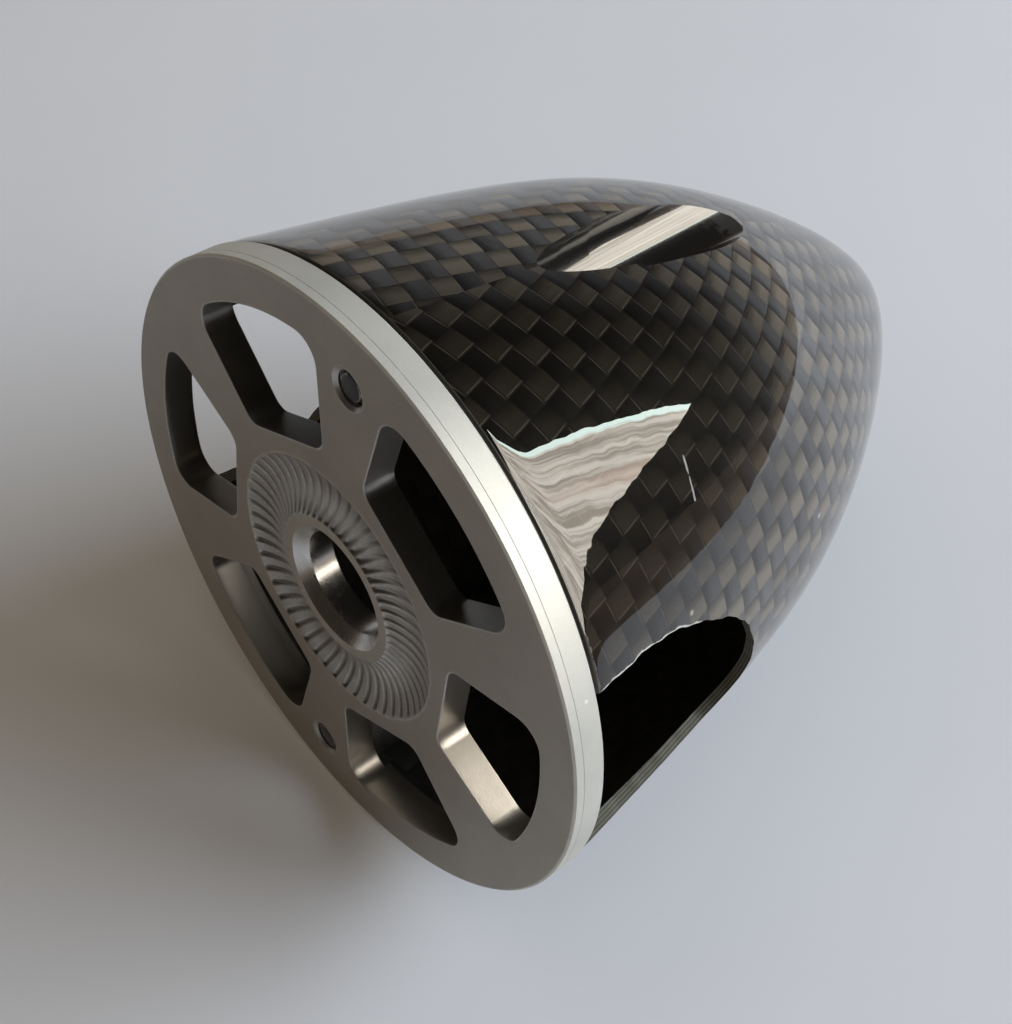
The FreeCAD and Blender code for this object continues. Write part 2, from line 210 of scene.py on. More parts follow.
def plain_weave() -> bpy.types.NodeTree:
    """Two-by-two checker of tows that pass over and under each other.

    Returns:
        A group with the tows' height, which family lies on top, the gaps beside a tow, a painted
        glint along one edge of it, the way across it, one random number for each cell and fine
        streaks along the fibres.
    """
    effect = Effect("plain_weave", {"Cloth": "vector", "Wander": 0.05},
                    ("Height", "Family", "Gap", "PaintedGlint", "Lean", "Cell", "Strand"))
    graph, given = effect.graph, effect.given
    drift = graph.node("TexNoise", {"Vector": given["Cloth"], "Scale": 0.45, "Detail": 1.0}).outputs["Color"]
    drift = graph.vector("SUBTRACT", drift, (0.5, 0.5, 0.5))
    cloth = graph.vector("MULTIPLY_ADD", drift, given["Wander"], given["Cloth"])
    x, y, _ = graph.xyz(cloth)
    column, row = graph.math("FLOOR", x), graph.math("FLOOR", y)
    family = graph.math("FLOORED_MODULO", graph.math("ADD", column, row), 2.0)
    along_x, along_y = graph.math("SUBTRACT", x, column), graph.math("SUBTRACT", y, row)
    across = graph.math("SUBTRACT", graph.lerp(family, along_x, along_y), 0.5)
    along = graph.math("SUBTRACT", graph.lerp(family, along_y, along_x), 0.5)
    crown = graph.math("POWER", graph.math("COSINE", graph.math("MULTIPLY", across, 0.98 * math.pi)), 0.2)
    arch = graph.math("POWER", graph.math("COSINE", graph.math("MULTIPLY", along, 0.9 * math.pi)), 0.5)
    effect.put("Height", graph.math("MULTIPLY", crown, arch))
    effect.put("Family", family)
    effect.put("Gap", graph.step(graph.math("ABSOLUTE", across), 0.45, 0.5))
    # painted highlight: a thin band near one edge of each tow, to be lightened as if that edge caught the
    # light
    rise, fall = graph.step(across, 0.37, 0.42), graph.step(across, 0.43, 0.47, 1.0, 0.0)
    effect.put("Lean", graph.math("ADD", across, 0.5))
    effect.put("PaintedGlint", graph.math("MULTIPLY", graph.math("MULTIPLY", rise, fall), arch))
    cell = graph.node("CombineXYZ", {0: column, 1: row, 2: family}).outputs[0]
    effect.put("Cell", graph.node("TexWhiteNoise", {"Vector": cell}).outputs["Value"])
    streaks = graph.node("CombineXYZ", {0: graph.math("MULTIPLY", across, 26.0),
                                        1: graph.math("MULTIPLY", along, 1.4),
                                        2: graph.math("MULTIPLY_ADD", column, 3.7, row)}).outputs[0]
    effect.put("Strand", graph.noise(streaks, 1.0, 3.0, 0.6))
    return effect.tree


def fine_grain() -> bpy.types.NodeTree:
    """Blasted or cast grain: a height for bump, a slow mottle and a fine speckle.

    Returns:
        The group.
    """
    effect = Effect("fine_grain", {"Position": "vector", "Scale": 6000.0}, ("Height", "Mottle", "Speckle"))
    graph, given = effect.graph, effect.given
    effect.put("Height", graph.noise(given["Position"], given["Scale"], 3.0, 0.7))
    effect.put("Mottle", graph.noise(given["Position"], graph.math("DIVIDE", given["Scale"], 45.0), 4.0, 0.6))
    cells = graph.node("TexVoronoi", {"Vector": given["Position"], "Scale": given["Scale"]})
    effect.put("Speckle", graph.math("SUBTRACT", 1.0, cells.outputs["Distance"]))
    return effect.tree


def edge_wear_and_glint() -> bpy.types.NodeTree:
    """Ragged worn band along the edges that the edge attribute marks.

    Returns:
        A group with a mask, 1 on the band: real wear in some finishes, a painted edge highlight in others.
    """
    effect = Effect("edge_wear_and_glint", {"Position": "vector", "Edge": 1.0, "Width": 0.5, "Scale": 900.0}, ("Mask",))
    graph, given = effect.graph, effect.given
    ragged = graph.noise(given["Position"], given["Scale"], 4.0, 0.65)
    reach = graph.math("MULTIPLY", given["Width"], graph.math("MULTIPLY_ADD", ragged, 2.4, -0.5))
    effect.put("Mask", graph.step(graph.math("DIVIDE", given["Edge"], graph.math("MAXIMUM", reach, 0.02)),
                                  0.6, 1.0, 1.0, 0.0))
    return effect.tree


def dust_specks() -> bpy.types.NodeTree:
    """Thin scatter of small pale specks.

    Returns:
        A group with a mask, 1 on the specks.
    """
    effect = Effect("dust_specks", {"Position": "vector", "Scale": 700.0, "Share": 0.05}, ("Mask",))
    graph, given = effect.graph, effect.given
    cells = graph.node("TexVoronoi", {"Vector": given["Position"], "Scale": given["Scale"]})
    pick = graph.node("SeparateColor", {0: cells.outputs["Color"]}).outputs[0]
    chosen = graph.math("LESS_THAN", pick, given["Share"])
    dot = graph.step(cells.outputs["Distance"], 0.06, 0.14, 1.0, 0.0)
    effect.put("Mask", graph.math("MULTIPLY", chosen, dot))
    return effect.tree


def lathe_lines() -> bpy.types.NodeTree:
    """Fine turning marks that run round the spin axis.

    Returns:
        A group with a fine height for bump and a slow shade.
    """
    effect = Effect("lathe_lines", {"Position": "vector", "Pitch": 0.00012}, ("Height", "Shade"))
    graph, given = effect.graph, effect.given
    x, y, z = graph.xyz(given["Position"])
    radius = graph.math("SQRT", graph.math("ADD", graph.math("MULTIPLY", x, x), graph.math("MULTIPLY", y, y)))
    flat = graph.node("CombineXYZ", {0: graph.math("DIVIDE", radius, given["Pitch"]),
                                     1: graph.math("DIVIDE", z, given["Pitch"])}).outputs[0]
    effect.put("Height", graph.noise(flat, 1.0, 2.0, 0.5))
    effect.put("Shade", graph.noise(flat, 0.11, 3.0, 0.6))
    return effect.tree


def fine_scratch() -> bpy.types.NodeTree:
    """Mask of one thin scratch between two points.

    Returns:
        A group with a mask, 1 on the scratch.
    """
    effect = Effect("fine_scratch", {"Position": "vector", "Start": "vector", "End": "vector",
                                     "Width": 0.00006}, ("Mask",))
    graph, given = effect.graph, effect.given
    run = graph.vector("SUBTRACT", given["End"], given["Start"])
    offset = graph.vector("SUBTRACT", given["Position"], given["Start"])
    share = graph.math("DIVIDE", graph.vector("DOT_PRODUCT", offset, run, output=1),
                       graph.vector("DOT_PRODUCT", run, run, output=1), clamp=True)
    shares = graph.node("CombineXYZ", {0: share, 1: share, 2: share}).outputs[0]
    nearest = graph.vector("MULTIPLY_ADD", run, shares, given["Start"])
    far = graph.vector("DISTANCE", given["Position"], nearest, output=1)
    wobble = graph.noise(given["Position"], 1400.0, 3.0)
    width = graph.math("MULTIPLY", given["Width"], graph.math("MULTIPLY_ADD", wobble, 3.0, -0.6))
    effect.put("Mask", graph.math("LESS_THAN", far, width))
    return effect.tree


@dataclass(frozen=True)
class Effects:
    """The shared shader groups, each built once."""
    weave: bpy.types.NodeTree = field(default_factory=plain_weave)
    grain: bpy.types.NodeTree = field(default_factory=fine_grain)
    wear: bpy.types.NodeTree = field(default_factory=edge_wear_and_glint)
    specks: bpy.types.NodeTree = field(default_factory=dust_specks)
    lathe: bpy.types.NodeTree = field(default_factory=lathe_lines)
    scratch: bpy.types.NodeTree = field(default_factory=fine_scratch)


def rgb(red: float, green: float, blue: float) -> Colour:
    """A colour with its alpha."""
    return red, green, blue, 1.0


def shade(tone: Colour, share: float) -> Colour:
    """A colour made darker or lighter, no part of it above 1."""
    return rgb(*(min(1.0, share * part) for part in tone[:3]))


def new_material(name: str) -> tuple[bpy.types.Material, Graph, bpy.types.Node]:
    """A material with an untouched Principled shader.

    Args:
        name: name of the finish.

    Returns:
        The material, its graph and its Principled node.
    """
    material = bpy.data.materials.new(name)
    material.use_nodes = True
    graph = Graph(material.node_tree)
    return material, graph, material.node_tree.nodes["Principled BSDF"]


def set_sockets(graph: Graph, node: bpy.types.Node, **values: Value) -> None:
    """Set or feed a node's sockets, written with underscores for the spaces in their names.

    Args:
        graph: the graph that the node is in.
        node: the node.
        values: sockets, each with a value or the output that feeds it.
    """
    for name, given in values.items():
        socket = node.inputs[name.replace("_", " ")]
        if isinstance(given, bpy.types.NodeSocket):
            graph.tree.links.new(given, socket)
        else:
            socket.default_value = given


def bump(graph: Graph, height: Socket, depth: float) -> Socket:
    """Normal bent by a height whose full range is a depth in metres."""
    return graph.node("Bump", {"Height": height, "Distance": depth}).outputs[0]


def worn_and_glinting_edges(graph: Graph, effects: Effects, width: float, scale: float) -> Socket:
    """Mask of the wear along the piece's edges.

    Args:
        graph: the finish's graph.
        effects: the shared shader groups.
        width: how far the band reaches, as a share of EDGE_REACH.
        scale: fineness of its ragged border.

    Returns:
        A number, 1 on the edge band: real wear, and in some finishes a painted edge highlight.
    """
    return graph.group(effects.wear, Position=graph.position(), Edge=graph.attribute("edge"), Width=width,
                       Scale=scale).outputs["Mask"]


def seen_backdrop(graph: Graph) -> Socket:
    """1 for the rays that show a backdrop: straight, in gloss and through glass.

    Args:
        graph: the graph that asks.

    Returns:
        The number.
    """
    path = graph.node("LightPath").outputs
    through = graph.math("MAXIMUM", path["Is Glossy Ray"], path["Is Transmission Ray"])
    return graph.math("MAXIMUM", path["Is Camera Ray"], through)


# finishes

@dataclass(frozen=True)
class BlastedAluminium:
    """Clear-anodised aluminium, blasted to a satin grey."""
    name: str = "blasted_aluminium"
    # the face's tone, kept dark as painted shade beside the lighter rim copy
    tone: Colour = rgb(0.34, 0.312, 0.272)
    roughness: float = 0.46
    turned: float = 0.2
    rubbed: float = 0.16
    metallic: float = 0.8
    grain_scale: float = 5200.0
    grain_depth: float = 0.000012
    lathe_pitch: float = 0.00009
    bare_tone: Colour = rgb(0.86, 0.85, 0.83)
    dust_tone: Colour = rgb(0.75, 0.74, 0.7)

    def build(self, effects: Effects) -> bpy.types.Material:
        """The material, from the grain, lathe and wear effects.

        Args:
            effects: the shared shader groups.

        Returns:
            The finished material.
        """
        material, graph, shader = new_material(self.name)
        place = graph.position()
        grain = graph.group(effects.grain, Position=place, Scale=self.grain_scale).outputs
        lathe = graph.group(effects.lathe, Position=place, Pitch=self.lathe_pitch).outputs
        wear = worn_and_glinting_edges(graph, effects, 0.32, 700.0)
        specks = graph.group(effects.specks, Position=place, Scale=600.0, Share=0.03).outputs["Mask"]
        colour = graph.blend(graph.step(grain["Mottle"], 0.3, 0.7), shade(self.tone, 0.86), self.tone)
        colour = graph.over(graph.step(grain["Speckle"], 0.5, 0.95), 0.35, colour, shade(self.tone, 1.1))
        # real rubbing and painted highlight together: the edges are lightened towards the bare metal tone
        colour = graph.over(wear, self.rubbed, colour, self.bare_tone)
        colour = graph.over(specks, 0.7, colour, self.dust_tone)
        rough = graph.math("MULTIPLY_ADD", grain["Mottle"], 0.12, self.roughness - 0.06)
        rough = graph.lerp(graph.math("MULTIPLY", wear, 0.4), rough, 0.3)
        height = graph.lerp(self.turned, grain["Height"], lathe["Height"])
        set_sockets(graph, shader, Base_Color=colour, Metallic=self.metallic, Roughness=rough,
                    Normal=bump(graph, height, self.grain_depth))
        return material


@dataclass(frozen=True)
class TurnedAluminium:
    """Aluminium as the lathe or mill leaves it, with its fine marks round the axis."""
    name: str
    tone: Colour = rgb(0.74, 0.73, 0.70)
    roughness: float = 0.3
    pitch: float = 0.00008
    depth: float = 0.000006
    grain_scale: float = 7000.0
    bare_tone: Colour = rgb(0.88, 0.87, 0.85)
    groove_shade_tone: Colour = rgb(0.07, 0.062, 0.052)

    def build(self, effects: Effects) -> bpy.types.Material:
        """The material, from the lathe, grain and wear effects.

        Args:
            effects: the shared shader groups.

        Returns:
            The finished material.
        """
        material, graph, shader = new_material(self.name)
        place = graph.position()
        grain = graph.group(effects.grain, Position=place, Scale=self.grain_scale).outputs
        lathe = graph.group(effects.lathe, Position=place, Pitch=self.pitch).outputs
        colour = graph.blend(graph.step(lathe["Shade"], 0.3, 0.7), self.tone, shade(self.tone, 0.9))
        # real rubbing and painted highlight together: the edges of the milled and bored walls are lightened
        # towards the bare metal tone
        colour = graph.over(worn_and_glinting_edges(graph, effects, 0.25, 1100.0), 0.15, colour, self.bare_tone)
        # painted shade: the serration grooves are darkened, as shade falls in them
        colour = graph.over(graph.attribute("groove_shade"), 0.8, colour, self.groove_shade_tone)
        rough = graph.math("MULTIPLY_ADD", grain["Mottle"], 0.1, self.roughness - 0.05)
        height = graph.lerp(0.3, lathe["Height"], grain["Height"])
        set_sockets(graph, shader, Base_Color=colour, Metallic=1.0, Roughness=rough,
                    Normal=bump(graph, height, self.depth))
        return material


@dataclass(frozen=True)
class GlossCarbon:
    """Plain-weave carbon cloth under a thick clear gloss coat."""
    name: str = "gloss_carbon"
    warp: Colour = rgb(0.0125, 0.0098, 0.0068)
    weft: Colour = rgb(0.0046, 0.0038, 0.0030)
    warp_painted_sheen: Colour = rgb(0.130, 0.110, 0.085)
    weft_painted_sheen: Colour = rgb(0.068, 0.067, 0.067)
    painted_glint_tone: Colour = rgb(0.052, 0.042, 0.032)
    gap_tone: Colour = rgb(0.003, 0.0026, 0.0022)
    # resin between the strands, and also the colour that the painted shade on each tow's darker side sinks
    # towards
    resin_tone: Colour = rgb(0.0015, 0.0015, 0.0015)
    mark_tone: Colour = rgb(0.5, 0.48, 0.44)
    chip_tone: Colour = rgb(0.52, 0.50, 0.46)
    tow_depth: float = 0.00007
    ripple_depth: float = 0.000008
    scratch_start: tuple[float, float, float] = (0.01639, -0.02038, 0.01787)
    scratch_end: tuple[float, float, float] = (0.0189, -0.01821, 0.01727)
    scratch_width: float = 0.00009

    def build(self, effects: Effects) -> bpy.types.Material:
        """The material, from the weave, wear, scratch and speck effects.

        Args:
            effects: the shared shader groups.

        Returns:
            The finished material.
        """
        material, graph, shader = new_material(self.name)
        place = graph.position()
        cloth = graph.node("UVMap", uv_map="cloth").outputs[0]
        weave = graph.group(effects.weave, Cloth=cloth, Wander=0.10).outputs
        specks = graph.group(effects.specks, Position=place, Scale=420.0, Share=0.02).outputs["Mask"]
        scratch = graph.group(effects.scratch, Position=place, Start=self.scratch_start, End=self.scratch_end,
                              Width=self.scratch_width).outputs["Mask"]
        bright = graph.math("MULTIPLY_ADD", weave["Strand"], 1.5, 0.25)
        bright = graph.math("MULTIPLY", bright, graph.math("MULTIPLY_ADD", weave["Cell"], 0.9, 0.55))
        # painted shade: each tow is darkened towards one side and lightened towards the other, as if lit from
        # one side
        bright = graph.math("MULTIPLY", bright, graph.step(weave["Lean"], 0.0, 0.75, 0.35, 1.15))
        colour = graph.blend(weave["Family"], self.warp, self.weft)
        # painted sheen: lighter cloth colours that take over towards grazing angles, standing in for the pale
        # reflection over the cloth there
        painted_sheen = graph.blend(weave["Family"], self.warp_painted_sheen, self.weft_painted_sheen)
        grazing = graph.node("LayerWeight", {"Blend": 0.5}).outputs["Facing"]
        colour = graph.blend(graph.step(grazing, 0.33, 0.60), colour, painted_sheen)
        colour = graph.blend(bright, self.resin_tone, colour)
        # painted highlight: the band along one edge of each tow is lightened as a glint
        colour = graph.over(weave["PaintedGlint"], 0.6, colour, self.painted_glint_tone)
        colour = graph.over(weave["Gap"], 0.8, colour, self.gap_tone)
        marks = graph.math("MAXIMUM", graph.math("MULTIPLY", specks, 0.5),
                           graph.math("MULTIPLY", scratch, 0.55))
        colour = graph.blend(marks, colour, self.mark_tone)
        chips = graph.math("MULTIPLY", worn_and_glinting_edges(graph, effects, 0.45, 1500.0), graph.attribute("chipped"))
        colour = graph.over(chips, 0.85, colour, self.chip_tone)
        height = graph.math("MULTIPLY_ADD", weave["Strand"], 0.10, weave["Height"])
        coat = graph.math("SUBTRACT", 1.0, graph.math("MAXIMUM", chips, marks))
        pulled = graph.math("SUBTRACT", 1.0, graph.attribute("seam"))
        wrinkle = graph.math("MULTIPLY", graph.noise(place, 1100.0, 2.0), graph.math("MULTIPLY", pulled, 6.0))
        ripple = graph.math("ADD", graph.noise(place, 420.0, 1.0), wrinkle)
        tangent = graph.node("Tangent", direction_type="UV_MAP", uv_map="cloth").outputs[0]
        set_sockets(graph, shader, Base_Color=colour, Roughness=0.4, Specular_IOR_Level=0.03, Anisotropic=0.8,
                    Anisotropic_Rotation=graph.math("MULTIPLY", weave["Family"], 0.25), Tangent=tangent,
                    Coat_Weight=coat, Coat_Roughness=0.012, Coat_IOR=1.6,
                    Coat_Normal=bump(graph, ripple, self.ripple_depth),
                    Normal=bump(graph, height, self.tow_depth))
        return material


@dataclass(frozen=True)
class RawLaminate:
    """Inside of the moulding: the same cloth, resin-starved and dull."""
    name: str = "raw_laminate"
    warp: Colour = rgb(0.016, 0.015, 0.014)
    weft: Colour = rgb(0.026, 0.024, 0.022)
    dry_tone: Colour = rgb(0.010, 0.0095, 0.009)
    tow_depth: float = 0.00014

    def build(self, effects: Effects) -> bpy.types.Material:
        """The material, from the weave and grain effects.

        Args:
            effects: the shared shader groups.

        Returns:
            The finished material.
        """
        material, graph, shader = new_material(self.name)
        cloth = graph.node("UVMap", uv_map="cloth").outputs[0]
        weave = graph.group(effects.weave, Cloth=cloth, Wander=0.12).outputs
        grain = graph.group(effects.grain, Position=graph.position(), Scale=2600.0).outputs
        colour = graph.blend(weave["Family"], self.warp, self.weft)
        colour = graph.blend(graph.step(grain["Mottle"], 0.5, 0.75), colour, self.dry_tone)
        height = graph.math("MULTIPLY_ADD", grain["Height"], 0.35, weave["Height"])
        rough = graph.step(grain["Mottle"], 0.2, 0.8, 0.45, 0.7)
        set_sockets(graph, shader, Base_Color=colour, Roughness=rough,
                    Normal=bump(graph, height, self.tow_depth))
        return material


@dataclass(frozen=True)
class CutLaminate:
    """Sawn and filed edge of the laminate: dull grey-olive plies with pale resin between them."""
    name: str = "cut_laminate"
    ply: float = 0.00028
    fibre_tone: Colour = rgb(0.062, 0.060, 0.046)
    resin_tone: Colour = rgb(0.135, 0.130, 0.105)
    dust_tone: Colour = rgb(0.42, 0.40, 0.35)
    saw_depth: float = 0.00005

    def build(self, effects: Effects) -> bpy.types.Material:
        """The material, from the grain and speck effects.

        Args:
            effects: the shared shader groups.

        Returns:
            The finished material.
        """
        material, graph, shader = new_material(self.name)
        place = graph.position()
        grain = graph.group(effects.grain, Position=place, Scale=3600.0).outputs
        specks = graph.group(effects.specks, Position=place, Scale=1800.0, Share=0.18).outputs["Mask"]
        depth = graph.attribute("ply")
        wave = graph.math("SINE", graph.math("MULTIPLY_ADD", depth, 2 * math.pi / (self.ply / MM),
                                             graph.math("MULTIPLY", grain["Mottle"], 5.0)))
        colour = graph.blend(graph.step(wave, -0.4, 0.9), self.fibre_tone, self.resin_tone)
        colour = graph.over(specks, 0.8, colour, self.dust_tone)
        rough = graph.step(grain["Mottle"], 0.2, 0.8, 0.5, 0.75)
        set_sockets(graph, shader, Base_Color=colour, Roughness=rough,
                    Normal=bump(graph, grain["Height"], self.saw_depth))
        return material


@dataclass(frozen=True)
class ResinLip:
    """Clear resin over black: the moulded base lip and the lined screw wells."""
    name: str = "resin_lip"
    tone: Colour = rgb(0.006, 0.0055, 0.005)
    thin_tone: Colour = rgb(0.020, 0.018, 0.015)
    painted_edge_highlight_tone: Colour = rgb(0.10, 0.09, 0.08)
    flow_depth: float = 0.00012

    def build(self, effects: Effects) -> bpy.types.Material:
        """The material, from the weave, grain and wear effects.

        Args:
            effects: the shared shader groups.

        Returns:
            The finished material.
        """
        material, graph, shader = new_material(self.name)
        place = graph.position()
        grain = graph.group(effects.grain, Position=place, Scale=900.0).outputs
        colour = graph.blend(graph.step(grain["Mottle"], 0.35, 0.7), self.tone, self.thin_tone)
        # painted highlight: a pale line along the edges of the base lip and the well mouths, standing in for
        # the gloss on their rounding
        colour = graph.over(worn_and_glinting_edges(graph, effects, 0.22, 1300.0), 0.25, colour, self.painted_edge_highlight_tone)
        rough = graph.step(grain["Mottle"], 0.3, 0.8, 0.2, 0.4)
        set_sockets(graph, shader, Base_Color=colour, Roughness=rough, Coat_Weight=1.0, Coat_Roughness=0.03,
                    Coat_IOR=1.6, Normal=bump(graph, grain["Mottle"], self.flow_depth))
        return material


@dataclass(frozen=True)
class BlackOxide:
    """Oiled black oxide on a steel cap screw, rubbed lighter at its edges."""
    name: str = "black_oxide"
    tone: Colour = rgb(0.030, 0.030, 0.034)
    thin_tone: Colour = rgb(0.060, 0.060, 0.066)
    bare_tone: Colour = rgb(0.30, 0.29, 0.28)
    grain_depth: float = 0.000008

    def build(self, effects: Effects) -> bpy.types.Material:
        """The material, from the grain and wear effects.

        Args:
            effects: the shared shader groups.

        Returns:
            The finished material.
        """
        material, graph, shader = new_material(self.name)
        place = graph.position()
        grain = graph.group(effects.grain, Position=place, Scale=9000.0).outputs
        wear = worn_and_glinting_edges(graph, effects, 0.3, 2600.0)
        colour = graph.blend(grain["Mottle"], self.tone, self.thin_tone)
        colour = graph.over(wear, 0.6, colour, self.bare_tone)
        set_sockets(graph, shader, Base_Color=colour, Metallic=1.0, Roughness=graph.lerp(wear, 0.30, 0.22),
                    Normal=bump(graph, grain["Height"], self.grain_depth))
        return material


# meshes

def circle_points(count: int, radius: float, centre: tuple[float, float] = (0.0, 0.0)) -> np.ndarray:
    """Points round a circle in the plane."""
    turn = np.arange(count) * 2 * math.pi / count
    return np.stack([centre[0] + radius * np.cos(turn), centre[1] + radius * np.sin(turn)], axis=1)


def lift(outline: np.ndarray, height: float | np.ndarray) -> np.ndarray:
    """Plane points raised to a height."""
    return np.column_stack([outline, np.broadcast_to(height, len(outline))])


def loft(rings: Sequence[np.ndarray], parts: Sequence[Part] | None = None) -> bmesh.types.BMesh:
    """Skin of quads over rings of equal count.

    Args:
        rings: arrays of points, each ring with the same count.
        parts: finish of each band of quads.

    Returns:
        The skin, with every band's finish as its material index.
    """
    skin = bmesh.new()
    rows = [[skin.verts.new(point) for point in ring] for ring in rings]
    for band, (low, high) in enumerate(zip(rows, rows[1:])):
        for k in range(len(low)):
            after = (k + 1) % len(low)
            face = skin.faces.new((low[k], low[after], high[after], high[k]))
            face.material_index = parts[band].value if parts else 0
    return skin


def cap(skin: bmesh.types.BMesh, ring: Sequence[bmesh.types.BMVert], part: Part) -> None:
    """Close a ring of vertices with a fan round its middle.

    Args:
        skin: the skin that the ring is in.
        ring: its vertices, in order.
        part: finish of the new faces.
    """
    middle = skin.verts.new(sum((vert.co for vert in ring), Vector()) / len(ring))
    for k, vert in enumerate(ring):
        face = skin.faces.new((vert, ring[(k + 1) % len(ring)], middle))
        face.material_index = part.value


def merged(skins: Iterable[bmesh.types.BMesh]) -> bmesh.types.BMesh:
    """One skin of several whose open edges meet, with its normals facing out.

    Args:
        skins: the skins, which are used up.

    Returns:
        The one skin.
    """
    whole = bmesh.new()
    for skin in skins:
        mesh = bpy.data.meshes.new("band")
        skin.to_mesh(mesh)
        skin.free()
        whole.from_mesh(mesh)
        bpy.data.meshes.remove(mesh)
    bmesh.ops.remove_doubles(whole, verts=whole.verts, dist=WELD_REACH)
    bmesh.ops.recalc_face_normals(whole, faces=whole.faces)
    return whole


def new_piece(name: str, skin: bmesh.types.BMesh) -> bpy.types.Object:
    """Object in metres from a skin drawn in millimetres.

    Args:
        name: name of the object.
        skin: its skin, which is used up.

    Returns:
        The object.
    """
    mesh = bpy.data.meshes.new(name)
    bmesh.ops.scale(skin, vec=(MM, MM, MM), verts=skin.verts)
    skin.to_mesh(mesh)
    skin.free()
    piece = bpy.data.objects.new(name, mesh)
    bpy.context.scene.collection.objects.link(piece)
    return piece


def mark_edges(piece: bpy.types.Object, angle: float) -> None:
    """Store how near each vertex is to a sharp edge, 0 on it and 1 from EDGE_REACH on.

    Args:
        piece: object whose mesh is marked.
        angle: smallest angle of a sharp edge, in radians.
    """
    skin = bmesh.new()
    skin.from_mesh(piece.data)
    sharp = {vert.index for edge in skin.edges if len(edge.link_faces) == 2 and edge.calc_face_angle() > angle
             for vert in edge.verts}
    skin.free()
    store_distance(piece, [piece.data.vertices[k].co for k in sorted(sharp)])


def store(piece: bpy.types.Object, name: str, values: Sequence[float] | np.ndarray) -> None:
    """Store a number for each vertex."""
    piece.data.attributes.new(name, "FLOAT", "POINT").data.foreach_set("value", values)


def vertex_places(piece: bpy.types.Object) -> np.ndarray:
    """Where the piece's vertices are, in millimetres."""
    return np.array([vert.co for vert in piece.data.vertices]) / MM


def store_distance(piece: bpy.types.Object, marks: Sequence[Vector]) -> None:
    """Store each vertex's distance to the nearest mark as edge, a share of EDGE_REACH up to 1.

    Args:
        piece: object whose mesh is marked.
        marks: places on its edges.
    """
    tree = KDTree(len(marks))
    for k, mark in enumerate(marks):
        tree.insert(mark, k)
    tree.balance()
    reach = EDGE_REACH * MM
    store(piece, "edge", [min(1.0, tree.find(vert.co)[2] / reach) for vert in piece.data.vertices])


def smooth(piece: bpy.types.Object, angle: float) -> None:
    """Shade smooth but for edges sharper than an angle, with large faces kept flat.

    Args:
        piece: the object.
        angle: smallest angle of an edge that stays sharp, in radians.
    """
    piece.data.shade_smooth()
    piece.data.set_sharp_from_angle(angle=angle)
    weighting = piece.modifiers.new("flat_faces", "WEIGHTED_NORMAL")
    weighting.keep_sharp = True
    weighting.weight = FLAT_WEIGHT


def dress(piece: bpy.types.Object, node: str, finishes: Sequence[bpy.types.Material]) -> None:
    """Give a piece its finishes and its place in the frame.

    Args:
        piece: the finished object.
        node: CAD node that it stands for.
        finishes: materials in the order of the Part values.
    """
    for finish in finishes:
        piece.data.materials.append(finish)
    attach(piece, BODY)
    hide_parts(node)
    log.info("%s stands for %s with %d faces", piece.name, node, len(piece.data.polygons))


# pieces

